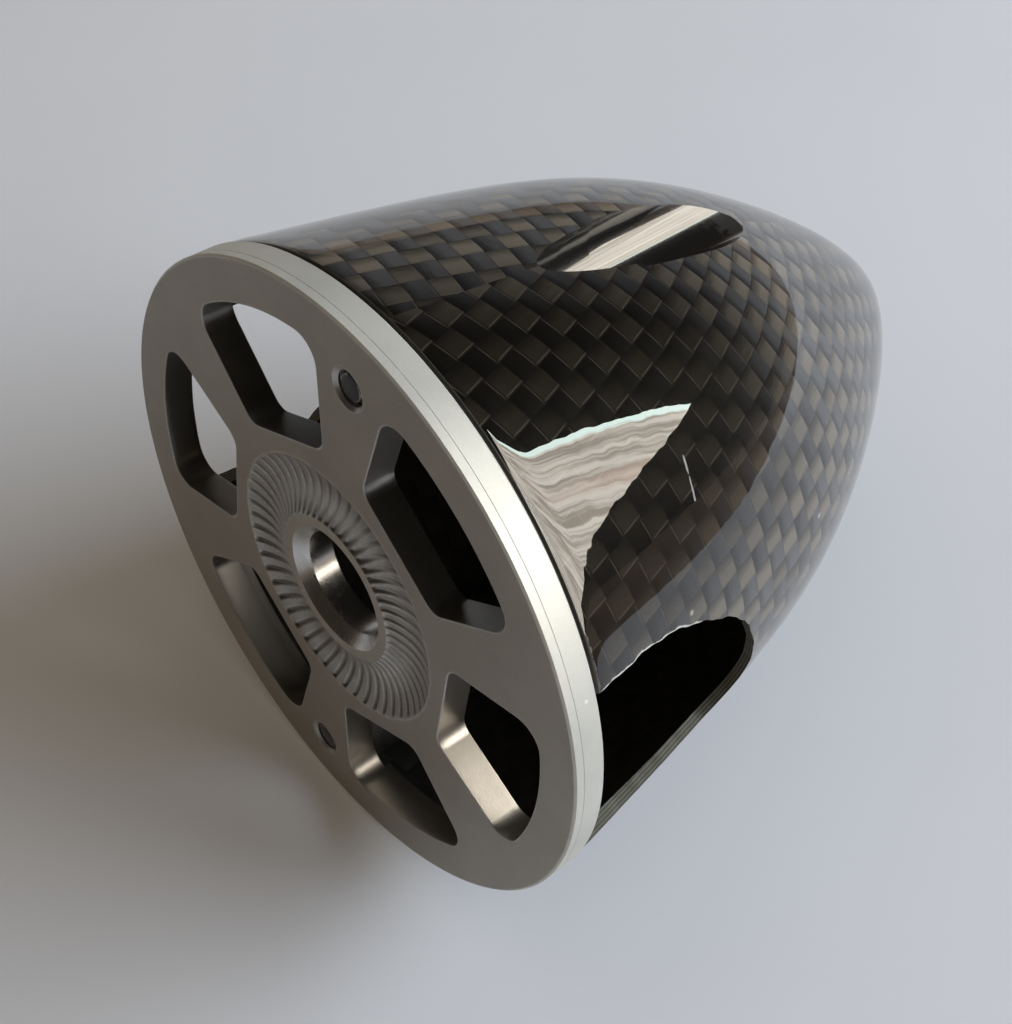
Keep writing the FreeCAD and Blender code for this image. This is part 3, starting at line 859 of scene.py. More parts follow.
@dataclass
class Backplate:
    """Turned and milled aluminium plate with a serrated ring trough and six windows."""
    radius: float = PLATE_RADIUS
    thickness: float = CONE_BASE
    rim_break: float = 0.15
    groove_height: float = 0.86
    groove_depth: float = 0.03
    seat_radius: float = 12.6
    seat_height: float = 0.5
    bore_radius: float = 4.75
    mouth_radius: float = 5.7
    mouth_depth: float = 0.95
    trough_middle: float = 9.45
    trough_half: float = 2.7
    trough_depth: float = 0.75
    serrations: int = 52
    serration_depth: float = 0.14
    cutter: float = 0.36
    lean: float = math.radians(16)
    run_in: float = 12.0  # how fast a serration deepens with the trough, from nothing at its edge
    windows: int = 6
    window_inner: float = 13.85
    window_outer: float = 24.7
    window_half: float = 5.2
    window_flare: float = math.radians(20.8)
    inner_corner: float = 1.5
    outer_corner: float = 2.1
    screw_circle: float = SCREW_CIRCLE
    tapped_radius: float = 1.5
    tapped_break: float = 0.25
    register_inner: float = 26.1
    register_outer: float = 26.9
    register_height: float = 1.2
    blade_gap: float = 14.5
    well_gap: float = 4.8
    edge_break: float = 0.10
    hub_reach: float = 13.1
    rim_reach: float = 27.6
    round_count: int = 832
    trough_rings: int = 30
    border: float = 0.55
    hole_count: int = 48
    thread_pitch: float = 0.5
    thread_depth: float = 0.13
    arc_count: int = 40
    sharp: float = math.radians(24)

    def build(self, effects: Effects) -> bpy.types.Object:
        """Model and dress the plate.

        Args:
            effects: the shared shader groups.

        Returns:
            The finished object.
        """
        parts = [self.hub(), self.rim(), *self.faces(), *self.window_walls(), *self.tapped_holes(),
                 *self.register()]
        piece = new_piece("backplate_visual", merged(parts))
        mark_edges(piece, self.sharp)
        self.mark_groove_shade(piece)
        smooth(piece, self.sharp)
        dress(piece, "backplate", [
            BlastedAluminium().build(effects),
            TurnedAluminium("milled_aluminium", tone=rgb(0.40, 0.385, 0.36), roughness=0.4, pitch=0.00022,
                            depth=0.00001).build(effects),
            TurnedAluminium("bored_aluminium", tone=rgb(0.60, 0.59, 0.57), roughness=0.27).build(effects),
            # painted light: the rim is the same blasted aluminium as the face in a much lighter tone, as if
            # lit by the window
            BlastedAluminium("blasted_rim_painted_lit", tone=rgb(0.52, 0.51, 0.455), roughness=0.6, rubbed=0.04,
                             metallic=0.3).build(effects)])
        return piece

    def serration(self, outline: np.ndarray) -> np.ndarray:
        """Depth of the serrations under plane points given as x and y.

        Args:
            outline: the plane points.

        Returns:
            One depth for each point.
        """
        pitch = 2 * math.pi / self.serrations
        radius, angle = np.hypot(*outline.T), np.arctan2(outline[:, 1], outline[:, 0])
        nearest = np.full(len(outline), np.inf)
        middle = np.round((angle - (radius / self.trough_middle - 1) * math.tan(self.lean)) / pitch)
        for shift in (-1, 0, 1):
            local = angle - (middle + shift) * pitch
            x, y = radius * np.cos(local) - self.trough_middle, radius * np.sin(local)
            nearest = np.minimum(nearest, np.abs(y * math.cos(self.lean) - x * math.sin(self.lean)))
        floor = self.cutter - self.serration_depth
        return np.sqrt(np.maximum(self.cutter ** 2 - nearest ** 2, floor ** 2)) - floor

    def mark_groove_shade(self, piece: bpy.types.Object) -> None:
        """Store how deep in a serration each vertex of the trough lies, from 0 to 1.

        Args:
            piece: object whose mesh is marked.
        """
        place = vertex_places(piece)
        radius = np.hypot(place[:, 0], place[:, 1])
        share = np.clip(self.serration(place[:, :2]) / self.serration_depth, 0, 1) ** 1.5
        share *= (np.abs(radius - self.trough_middle) < self.trough_half - 0.1) & (place[:, 2] > 0.02)
        share *= place[:, 2] < 1.5
        share *= np.clip((radius - self.trough_middle + 1.6) / 2.2, 0.25, 1)
        # the share is the strength of the painted shade in the grooves, greater towards the trough's outer
        # edge
        store(piece, "groove_shade", share)

    def hub(self) -> bmesh.types.BMesh:
        """Trough with its serrations, lead-in, bore and the seat on the far side.

        Returns:
            The skin of the middle of the plate.
        """
        arc = (self.trough_half ** 2 + self.trough_depth ** 2) / (2 * self.trough_depth)
        drop = arc - self.trough_depth
        far, near = self.trough_middle + self.trough_half, self.trough_middle - self.trough_half
        rings, parts = [lift(circle_points(self.round_count, self.hub_reach), 0.0)], [Part.MAIN]
        for radius in np.linspace(far, near, self.trough_rings):
            outline = circle_points(self.round_count, radius)
            depth = math.sqrt(arc ** 2 - (radius - self.trough_middle) ** 2) - drop
            cut = self.serration(outline) * min(1.0, max(0.0, depth) * self.run_in)
            rings.append(lift(outline, max(0.0, depth) + cut))
            parts.append(Part.WALL)
        parts[-1] = Part.MAIN
        top, brk = self.thickness + self.seat_height, self.edge_break
        for radius, height, part in (
                (self.mouth_radius + 0.06, 0.0, Part.INNER), (self.mouth_radius, 0.06, Part.INNER),
                (self.bore_radius + 0.04, self.mouth_depth - 0.04, Part.INNER),
                (self.bore_radius, self.mouth_depth + 0.02, Part.INNER),
                (self.bore_radius, top - brk, Part.INNER),
                (self.bore_radius + brk, top, Part.WALL), (self.seat_radius - brk, top, Part.WALL),
                (self.seat_radius, top - brk, Part.WALL), (self.seat_radius, self.thickness, Part.MAIN),
                (self.hub_reach, self.thickness, Part.MAIN)):
            rings.append(lift(circle_points(self.round_count, radius), height))
            parts.append(part)
        return loft(rings, parts=parts)

    def rim(self) -> bmesh.types.BMesh:
        """Outside band with its broken edges and one fine turned line.

        Returns:
            The skin of the outside band.
        """
        brk, line, cut = self.rim_break, self.groove_height, self.groove_depth
        outline = [(self.rim_reach, 0.0), (self.radius - brk - 0.3, 0.0), (self.radius - brk, 0.0),
                   (self.radius, brk), (self.radius, line - cut), (self.radius - cut, line),
                   (self.radius, line + cut),
                   (self.radius, self.thickness - brk), (self.radius - brk, self.thickness),
                   (self.rim_reach, self.thickness)]
        parts = [Part.MAIN] * 2 + [Part.EXTRA] * 6 + [Part.WALL]
        return loft([lift(circle_points(self.round_count, r), z) for r, z in outline], parts=parts)

    def window_outline(self, grow: float = 0.0) -> np.ndarray:
        """Outline of the window on +X, its corners rounded, grown by a distance.

        Args:
            grow: distance by which it is grown.

        Returns:
            Its plane points, in order.
        """
        inner, half, flare = self.window_inner, self.window_half, self.window_flare
        reach = inner * math.cos(flare) + half * math.sin(flare)
        run = math.sqrt(reach ** 2 - inner ** 2 - half ** 2 + self.window_outer ** 2) - reach
        low = np.array([inner, half])
        side = np.array([math.cos(flare), math.sin(flare)])
        normal = np.array([-side[1], side[0]])
        near = low + np.array([self.inner_corner, 0.0])
        turn = math.pi / 2 + flare
        centre = self.meet(near[0], low, side, normal)
        radial = self.window_outer - self.outer_corner
        offset = np.dot(low, normal) - self.outer_corner
        along = math.sqrt(radial ** 2 - offset ** 2)
        outer = normal * offset + side * along
        swing = math.atan2(outer[1], outer[0])
        points = [centre + (self.inner_corner + grow) * np.array([math.cos(a), math.sin(a)])
                  for a in np.linspace(math.pi, turn, 9)]
        points += [outer + (self.outer_corner + grow) * np.array([math.cos(a), math.sin(a)])
                   for a in np.linspace(turn, swing, 11)]
        points += [(self.window_outer + grow) * np.array([math.cos(a), math.sin(a)])
                   for a in np.linspace(swing, 0.0, 14)[1:]]
        half_outline = np.array(points)
        mirrored = half_outline[::-1][1:] * np.array([1.0, -1.0])
        return np.vstack([half_outline, mirrored])

    def meet(self, x: float, low: np.ndarray, side: np.ndarray, normal: np.ndarray) -> np.ndarray:
        """Centre of the inner corner: on the line at x, one corner radius inside the flared side."""
        offset = np.dot(low, normal) - self.inner_corner
        return np.array([x, (offset - x * normal[0]) / normal[1]])

    def turned_copies(self, outline: np.ndarray) -> list[np.ndarray]:
        """The outline turned round the axis.

        Args:
            outline: one window's plane points.

        Returns:
            The outline of each window.
        """
        made = []
        for k in range(self.windows):
            c, s = math.cos(2 * math.pi * k / self.windows), math.sin(2 * math.pi * k / self.windows)
            made.append(outline @ np.array([[c, s], [-s, c]]))
        return made

    def hole_rings(self, outline_at: Callable[[float], np.ndarray]) -> list[np.ndarray]:
        """Rings down a through hole whose two edges are broken by a rounding.

        Args:
            outline_at: gives the hole's outline, grown by a distance.

        Returns:
            Rings of points, from one face of the plate to the other.
        """
        brk = self.edge_break
        rings = [lift(outline_at(self.border), 0.0)]
        steps = [(brk * (1 - math.sin(a)), brk * (1 - math.cos(a))) for a in np.linspace(0, math.pi / 2, 4)]
        rings += [lift(outline_at(grow), height) for grow, height in steps]
        rings += [lift(outline_at(0.0), height) for height in (brk + 0.5, self.thickness - brk - 0.5)]
        rings += [lift(outline_at(grow), self.thickness - height) for grow, height in reversed(steps)]
        return rings + [lift(outline_at(self.border), self.thickness)]

    def window_walls(self) -> list[bmesh.types.BMesh]:
        """Milled walls of the windows with their broken edges and a border on both faces.

        Returns:
            One skin for each window.
        """
        made = []
        for k in range(self.windows):
            rings = self.hole_rings(lambda grow, k=k: self.turned_copies(self.window_outline(grow))[k])
            made.append(loft(rings, parts=[Part.MAIN] + [Part.WALL] * (len(rings) - 3) + [Part.MAIN]))
        return made

    def tapped_holes(self) -> list[bmesh.types.BMesh]:
        """Chamfered M3 holes whose wall is threaded.

        Returns:
            One skin for each hole.
        """
        made = []
        for sign in (-1, 1):
            centre = (0.0, sign * self.screw_circle)
            brk, count, pitch = self.tapped_break, self.hole_count, self.thread_pitch
            turn = np.arange(count) / count
            rings = [lift(circle_points(count, self.tapped_radius + self.border, centre), 0.0),
                     lift(circle_points(count, self.tapped_radius + brk, centre), 0.0)]
            for height in np.arange(brk, self.thickness - 0.02, pitch / 6):
                wave = np.abs(((height / pitch - turn) % 1.0) * 2 - 1)
                radius = self.tapped_radius - self.thread_depth * wave
                ring = np.stack([centre[0] + radius * np.cos(turn * 2 * math.pi),
                                 centre[1] + radius * np.sin(turn * 2 * math.pi)], axis=1)
                rings.append(lift(ring, height))
            rings += [lift(circle_points(count, self.tapped_radius, centre), self.thickness),
                      lift(circle_points(count, self.tapped_radius + self.border, centre), self.thickness)]
            made.append(loft(rings, parts=[Part.MAIN] + [Part.WALL] * (len(rings) - 3) + [Part.MAIN]))
        return made

    def faces(self) -> list[bmesh.types.BMesh]:
        """The two flat faces of the web between hub, rim, windows and holes.

        Returns:
            One skin for each face.
        """
        made = []
        window = self.window_outline(self.border)
        for height, part in ((0.0, Part.MAIN), (self.thickness, Part.WALL)):
            loops = [circle_points(self.round_count, reach) for reach in (self.hub_reach, self.rim_reach)]
            loops += self.turned_copies(window)
            loops += [circle_points(self.hole_count, self.tapped_radius + self.border,
                                    (0.0, sign * self.screw_circle)) for sign in (-1, 1)]
            skin = bmesh.new()
            edges = []
            for loop in loops:
                verts = [skin.verts.new((x, y, height)) for x, y in loop]
                edges += [skin.edges.new((verts[k - 1], verts[k])) for k in range(len(verts))]
            bmesh.ops.triangle_fill(skin, use_beauty=True, use_dissolve=False, edges=edges, normal=(0, 0, 1))
            for face in skin.faces:
                face.material_index = part.value
            made.append(skin)
        return made

    def register(self) -> list[bmesh.types.BMesh]:
        """Four low arcs that centre the cone, between the blade and well gaps.

        Returns:
            One skin for each arc.
        """
        start = math.asin(self.blade_gap / self.register_inner)
        end = math.acos(self.well_gap / self.register_inner)
        foot, top = self.thickness, self.thickness + self.register_height
        made = []
        for quarter in range(4):
            low, high = (start, end) if quarter % 2 == 0 else (math.pi - end, math.pi - start)
            angles = np.linspace(low, high, self.arc_count) + (math.pi if quarter > 1 else 0.0)
            section = [(self.register_inner, foot), (self.register_inner, top), (self.register_outer, top),
                       (self.register_outer, foot)]
            rings = [np.array([(r * math.cos(a), r * math.sin(a), z) for r, z in section]) for a in angles]
            skin = loft(rings, parts=[Part.WALL] * (self.arc_count - 1))
            skin.verts.ensure_lookup_table()
            for ring in (skin.verts[:4], skin.verts[-4:]):
                skin.faces.new(ring).material_index = Part.WALL.value
            made.append(skin)
        return made


def spline_points(poles: Sequence[tuple[float, float]], count: int) -> np.ndarray:
    """Points on the clamped cubic spline over some poles, by repeated blending.

    Args:
        poles: the spline's control points.
        count: how many points.

    Returns:
        An array of points from the first pole to the last.
    """
    inner = len(poles) - 4
    knots = [0.0] * 4 + [float(k) for k in range(1, inner + 1)] + [inner + 1.0] * 4
    made = []
    for t in np.linspace(0.0, inner + 1.0, count):
        span = min(int(t), inner) + 3
        work = [np.array(poles[span - 3 + k], float) for k in range(4)]
        for level in range(1, 4):
            for k in range(3, level - 1, -1):
                low = knots[span - 3 + k]
                share = (t - low) / (knots[span + 1 + k - level] - low)
                work[k] = (1 - share) * work[k - 1] + share * work[k]
        made.append(work[3])
    return np.array(made)


def hand_cut(line: np.ndarray, depth: float, step: float) -> np.ndarray:
    """Even points on a line, pushed a little to either side as a hand-held cutter wanders.

    Args:
        line: plane points.
        depth: how far the line may wander.
        step: distance between the new points.

    Returns:
        The wandering line, its two ends kept.
    """
    chance = random.Random(7)
    run = np.concatenate([[0.0], np.cumsum(np.hypot(*np.diff(line, axis=0).T))])
    even = np.linspace(0.0, run[-1], int(run[-1] / step))
    points = np.column_stack([np.interp(even, run, line[:, k]) for k in (0, 1)])
    wave = sum(share * np.sin(even * 2 * math.pi / length + chance.uniform(0, 6))
               for length, share in ((9.0, 0.45), (3.7, 0.35), (1.6, 0.2)))
    wave *= depth * np.clip(np.minimum(even, run[-1] - even) / 2, 0, 1)
    ahead = np.gradient(points, axis=0)
    side = np.column_stack([ahead[:, 1], -ahead[:, 0]]) / np.hypot(*ahead.T)[:, None]
    return points + side * wave[:, None]


@dataclass
class Cone:
    """Hollow carbon-fibre cone with two screw wells and two skewed blade openings."""
    base: float = CONE_BASE
    # poles of the outside, each a radius and a height
    outline: tuple[tuple[float, float], ...] = (
        (PLATE_RADIUS, CONE_BASE), (27.43, 9.7), (25.16, 25.89), (19.95, 44.28), (4.62, NOSE_HEIGHT),
        (0.0, NOSE_HEIGHT))
    wall: float = 0.9
    base_wall: float = 1.4
    nose_wall: float = 1.2
    nose_inset: float = 0.3
    mid_lean: float = math.radians(11.5)
    high_lean: float = math.radians(36.9)
    base_round: float = 0.4
    lip_height: float = 1.9
    lip_drop: float = 0.12
    screw_circle: float = SCREW_CIRCLE
    well_bore: float = 3.0
    well_mouth: float = 3.35
    mouth_height: float = 25.7
    well_wall: float = 1.0
    well_cover: float = 0.35
    well_floor: float = 2.4
    screw_hole: float = 1.65
    blade_low: float = -13.25
    blade_high: float = 6.8
    blade_shoulder: float = 7.6
    blade_poles: tuple[tuple[float, float], ...] = (
        (2.3, 23.5), (-1.7, 23.5), (-10.1, 21.05), (-13.25, 9.3), (-13.25, 7.6))
    blade_corner: float = 4.5
    blade_overrun: float = 1.35
    cut_wave: float = 0.16
    cut_step: float = 0.35
    chipped_span: tuple[float, float] = (3.6, 15.0)
    around: int = 400
    outside_rows: int = 150
    inside_rows: int = 70
    outline_count: int = 2000
    hole_count: int = 48
    well_count: int = 96
    tow: float = 2.1
    cloth_turn: float = math.radians(6.0)
    seam_turn: float = math.radians(2.5)
    seam_reach: float = 2.2
    seam_top: float = 24.0
    seam_fade: float = 8.0
    half_offset: float = 0.37
    sharp: float = math.radians(32)

    def build(self, effects: Effects) -> bpy.types.Object:
        """Model and dress the cone.

        Args:
            effects: the shared shader groups.

        Returns:
            The finished object.
        """
        piece = new_piece("cone_visual", self.shell())
        self.cut(piece, self.cutters())
        self.sort_faces(piece)
        self.lay_cloth(piece)
        smooth(piece, self.sharp)
        dress(piece, "carbon_cone", [
            GlossCarbon().build(effects), CutLaminate().build(effects), RawLaminate().build(effects),
            ResinLip().build(effects)])
        return piece

    def outside(self) -> np.ndarray:
        """Points up the outside from above the base rounding to the nose.

        Returns:
            Plane points, each a radius and a height.
        """
        line = spline_points(self.outline, self.outline_count)
        line = line[line[:, 1] > self.base + self.base_round]
        line[:, 0] -= self.lip_drop * np.clip(1 - (line[:, 1] - self.base) / self.lip_height, 0, 1) ** 2
        run = np.concatenate([[0.0], np.cumsum(np.hypot(*np.diff(line, axis=0).T))])
        even = np.linspace(0.0, run[-1], self.outside_rows)
        return np.column_stack([np.interp(even, run, line[:, 0]), np.interp(even, run, line[:, 1])])

    def inside(self) -> np.ndarray:
        """Points up the inside from the base to the nose.

        Returns:
            Plane points, each a radius and a height.
        """
        poles = list(self.outline)
        shifts = ((self.base_wall, 0.0), (self.wall, 0.0),
                  (self.wall * math.cos(self.mid_lean), self.wall * math.sin(self.mid_lean)),
                  (self.wall * math.cos(self.high_lean), self.wall * math.sin(self.high_lean)),
                  (self.nose_inset, self.nose_wall), (0.0, self.nose_wall))
        return spline_points([(r - dr, z - dz) for (r, z), (dr, dz) in zip(poles, shifts)], self.inside_rows)

    def shell(self) -> bmesh.types.BMesh:
        """Hollow cone, closed between its outside and its inside, before anything is cut.

        Returns:
            The closed skin.
        """
        outside, inside, brk = self.outside(), self.inside(), self.base_round
        corner = outside[0]
        round_off = [(corner[0] - brk * (1 - math.cos(a)), self.base + brk * (1 - math.sin(a)))
                     for a in np.linspace(math.pi / 2, 0, 6)[:-1]]
        section = [(inside[0][0] + 0.3, self.base)] + round_off + [tuple(p) for p in outside[:-1]]
        skin = bmesh.new()
        top = self.fan(skin, section, outside[-1][1])
        bottom = self.fan(skin, [tuple(p) for p in inside[:-1]], inside[-1][1])
        for k in range(self.around):
            after = (k + 1) % self.around
            skin.faces.new((top[k], top[after], bottom[after], bottom[k]))
        bmesh.ops.recalc_face_normals(skin, faces=skin.faces)
        return skin

    def fan(self, skin: bmesh.types.BMesh, line: Sequence[tuple[float, float]],
            tip: float) -> list[bmesh.types.BMVert]:
        """Turn a line round the axis, close it at the height of its tip and give back its first ring.

        Args:
            skin: the skin that the faces go in.
            line: plane points, each a radius and a height.
            tip: the tip's height.

        Returns:
            The first ring's vertices.
        """
        rows = [[skin.verts.new((*point, z)) for point in circle_points(self.around, r)] for r, z in line]
        for low, high in zip(rows, rows[1:]):
            for k in range(self.around):
                after = (k + 1) % self.around
                skin.faces.new((low[k], low[after], high[after], high[k]))
        end = skin.verts.new((0.0, 0.0, tip))
        for k in range(self.around):
            skin.faces.new((rows[-1][k], rows[-1][(k + 1) % self.around], end))
        return rows[0]

    def prism(self, outline: np.ndarray, low: float, high: float,
              turn: Matrix | None = None) -> bpy.types.Object:
        """Solid over an outline, as a tool for cutting.

        Args:
            outline: its plane points.
            low: where it starts.
            high: where it ends.
            turn: how it is then turned, if at all.

        Returns:
            The tool.
        """
        skin = loft([lift(outline, low), lift(outline, high)])
        skin.verts.ensure_lookup_table()
        count = len(outline)
        skin.faces.new(skin.verts[:count])
        skin.faces.new(skin.verts[count:])
        if turn is not None:
            bmesh.ops.transform(skin, matrix=turn, verts=skin.verts)
        bmesh.ops.recalc_face_normals(skin, faces=skin.faces)
        return new_piece("cutter", skin)

    def blade_outline(self) -> np.ndarray:
        """Outline of a blade opening, across and up.

        Returns:
            Its plane points, in order.
        """
        curve = spline_points(self.blade_poles, 60)
        top, right, bend = self.blade_poles[0][1], self.blade_high, self.blade_corner
        corner = np.array([(right - bend * (1 - math.cos(a)), top - bend * (1 - math.sin(a)))
                           for a in np.linspace(0.0, math.pi / 2, 24)[:-1]])
        foot = self.base - self.blade_overrun
        line = np.vstack([[(right, foot)], corner, curve, [(self.blade_low, foot)]])
        return hand_cut(line, self.cut_wave, self.cut_step)

    def cutters(self) -> list[tuple[bpy.types.Object, str]]:
        """Tools in the order of use, each with its way of cutting.

        Returns:
            Pairs of a tool and the name of a boolean operation.
        """
        made = []
        upright = Matrix(((0, 0, 1), (1, 0, 0), (0, 1, 0))).to_4x4()
        floor_top = self.base + self.well_floor
        for sign in (-1, 1):
            centre = (0.0, sign * self.screw_circle)
            made.append((self.column(centre), "UNION"))
            for count, radius, low, high in ((self.hole_count, self.screw_hole, 1.0, floor_top + 0.5),
                                             (self.well_count, self.well_bore, floor_top, 50.0),
                                             (self.well_count, self.well_mouth, self.mouth_height, 60.0)):
                made.append((self.prism(circle_points(count, radius, centre), low, high), "DIFFERENCE"))
            turn = Matrix.Rotation(0.0 if sign > 0 else math.pi, 4, "Z") @ upright
            made.append((self.prism(self.blade_outline(), 5.0, 40.0, turn), "DIFFERENCE"))
        return made

    def column(self, centre: tuple[float, float]) -> bpy.types.Object:
        """Solid column of a well, its top held inside the wall by the outline.

        Args:
            centre: the well's middle.

        Returns:
            The tool.
        """
        count = self.well_count
        outline = circle_points(count, self.well_bore + self.well_wall, centre)
        line = np.vstack([[(self.outline[0][0] - 0.02, self.base)], self.outside()])
        radius = np.hypot(*outline.T)
        order = np.argsort(line[:, 0])
        height = np.interp(radius + self.well_cover, line[order, 0], line[order, 1])
        inner = radius + self.well_cover < line[0, 0]
        keep = outline * np.minimum(1.0, (line[0, 0] - 0.5) / radius)[:, None]
        top = np.where(inner, height, self.base + 1.0)
        skin = loft([lift(keep, self.base), lift(keep, np.maximum(top, self.base + 1.0))])
        skin.verts.ensure_lookup_table()
        skin.faces.new(skin.verts[:count])
        cap(skin, list(skin.verts[count:2 * count]), Part.MAIN)
        bmesh.ops.recalc_face_normals(skin, faces=skin.faces)
        return new_piece("column", skin)

    def cut(self, piece: bpy.types.Object, tools: Sequence[tuple[bpy.types.Object, str]]) -> None:
        """Use each tool on the piece, then throw the tools away.

        Args:
            piece: the object that is cut.
            tools: pairs of a tool and the name of a boolean operation.
        """
        for tool, operation in tools:
            step = piece.modifiers.new("step", "BOOLEAN")
            step.object, step.operation, step.solver = tool, operation, "MANIFOLD"
        evaluated = piece.evaluated_get(bpy.context.evaluated_depsgraph_get())
        mesh = bpy.data.meshes.new_from_object(evaluated)
        mesh.materials.clear()
        piece.modifiers.clear()
        piece.data = mesh
        for tool, _ in tools:
            bpy.data.objects.remove(tool)

    def sort_faces(self, piece: bpy.types.Object) -> None:
        """Give each face its finish by where it lies, and store the edge and ply attributes.

        Args:
            piece: the cone.
        """
        skin = bmesh.new()
        skin.from_mesh(piece.data)
        line = np.vstack([[(self.outline[0][0], self.base)], self.outside()])
        inner = self.inside()
        for face in skin.faces:
            place, normal = face.calc_center_median() / MM, face.normal
            face.material_index = self.part_at(place, normal, line, inner).value
        border = {vert.index for edge in skin.edges if len({f.material_index for f in edge.link_faces}) > 1
                  for vert in edge.verts}
        marks = [vert.co.copy() for vert in skin.verts if vert.index in border]
        skin.to_mesh(piece.data)
        skin.free()
        store_distance(piece, marks)
        place = vertex_places(piece)
        skin_radius = np.interp(place[:, 2], line[:, 1], line[:, 0])
        store(piece, "ply", skin_radius - np.hypot(place[:, 0], place[:, 1]))
        low, high = self.chipped_span
        trailing = (place[:, 0] * place[:, 1] < 0) & (np.abs(place[:, 0]) > 15)
        store(piece, "chipped", np.where(trailing & (place[:, 2] > low) & (place[:, 2] < high), 1.0, 0.0))
        seam = np.clip(np.abs(place[:, 0]) / self.seam_reach, 0, 1)
        store(piece, "seam", np.maximum(seam, np.clip((place[:, 2] - self.seam_top) / self.seam_fade, 0, 1)))

    def part_at(self, place: Vector, normal: Vector, line: np.ndarray, inner: np.ndarray) -> Part:
        """Finish of the face at a place.

        Args:
            place: the face's middle, in millimetres.
            normal: the way it faces.
            line: the outside, as radii and heights.
            inner: the inside, as radii and heights.

        Returns:
            The finish.
        """
        radius = math.hypot(place.x, place.y)
        skin_radius = float(np.interp(place.z, line[:, 1], line[:, 0]))
        well = min(math.hypot(place.x, place.y - sign * self.screw_circle) for sign in (-1, 1))
        if radius > skin_radius - 0.05 and place.z > self.base + self.base_round:
            return Part.MAIN
        if place.z < self.base + self.base_round + 0.01 and radius > skin_radius - 1.2 * self.base_round:
            return Part.EXTRA
        if well < self.well_mouth + 0.05:
            return Part.EXTRA
        if place.z < self.base + 0.01:
            return Part.WALL
        inner_radius = float(np.interp(place.z, inner[:, 1], inner[:, 0]))
        if radius > inner_radius + 0.02 and abs(normal.x) < 0.2 and abs(place.x) > 14:
            return Part.WALL
        return Part.INNER

    def lay_cloth(self, piece: bpy.types.Object) -> None:
        """Unroll both halves of the cloth on the mesh, with seams over the wells.

        Each half is opened out from the middle of its blade opening, so the tows run straight
        there and lean more and more towards the seams, as draped cloth does.

        Args:
            piece: the cone.
        """
        line = spline_points(self.outline, 800)
        step = np.diff(line, axis=0)
        run = np.concatenate([[0.0], np.cumsum(np.hypot(*step.T))])
        lean = np.clip(np.append(-step[:, 0] / np.hypot(*step.T), 1.0), 0.02, 1.0)
        mesh = piece.data
        corners = np.empty(len(mesh.loops), int)
        mesh.loops.foreach_get("vertex_index", corners)
        place = np.empty(len(mesh.vertices) * 3)
        mesh.vertices.foreach_get("co", place)
        place = place.reshape(-1, 3)[corners] / MM
        middles = np.empty(len(mesh.polygons) * 3)
        mesh.polygons.foreach_get("center", middles)
        counts = np.empty(len(mesh.polygons), int)
        mesh.polygons.foreach_get("loop_total", counts)
        far_half = np.repeat(middles.reshape(-1, 3)[:, 0] < 0, counts)
        near = place * np.where(far_half, -1.0, 1.0)[:, None]
        angle = np.arctan2(near[:, 1], near[:, 0])
        height = place[:, 2]
        radius = np.interp(height, line[:, 1], line[:, 0])
        sine = np.interp(height, line[:, 1], lean)
        swing = angle * sine
        across = radius / sine * np.sin(swing)
        up = np.interp(height, line[:, 1], run) + radius / sine * (1 - np.cos(swing))
        turn = np.where(far_half, self.seam_turn, self.cloth_turn)
        u = (across * np.cos(turn) + up * np.sin(turn)) / self.tow
        v = (up * np.cos(turn) - across * np.sin(turn)) / self.tow
        layer = mesh.uv_layers.new(name="cloth")
        u += np.where(far_half, self.half_offset, 0.0)
        layer.data.foreach_set("uv", np.stack([u, v], axis=1).ravel())


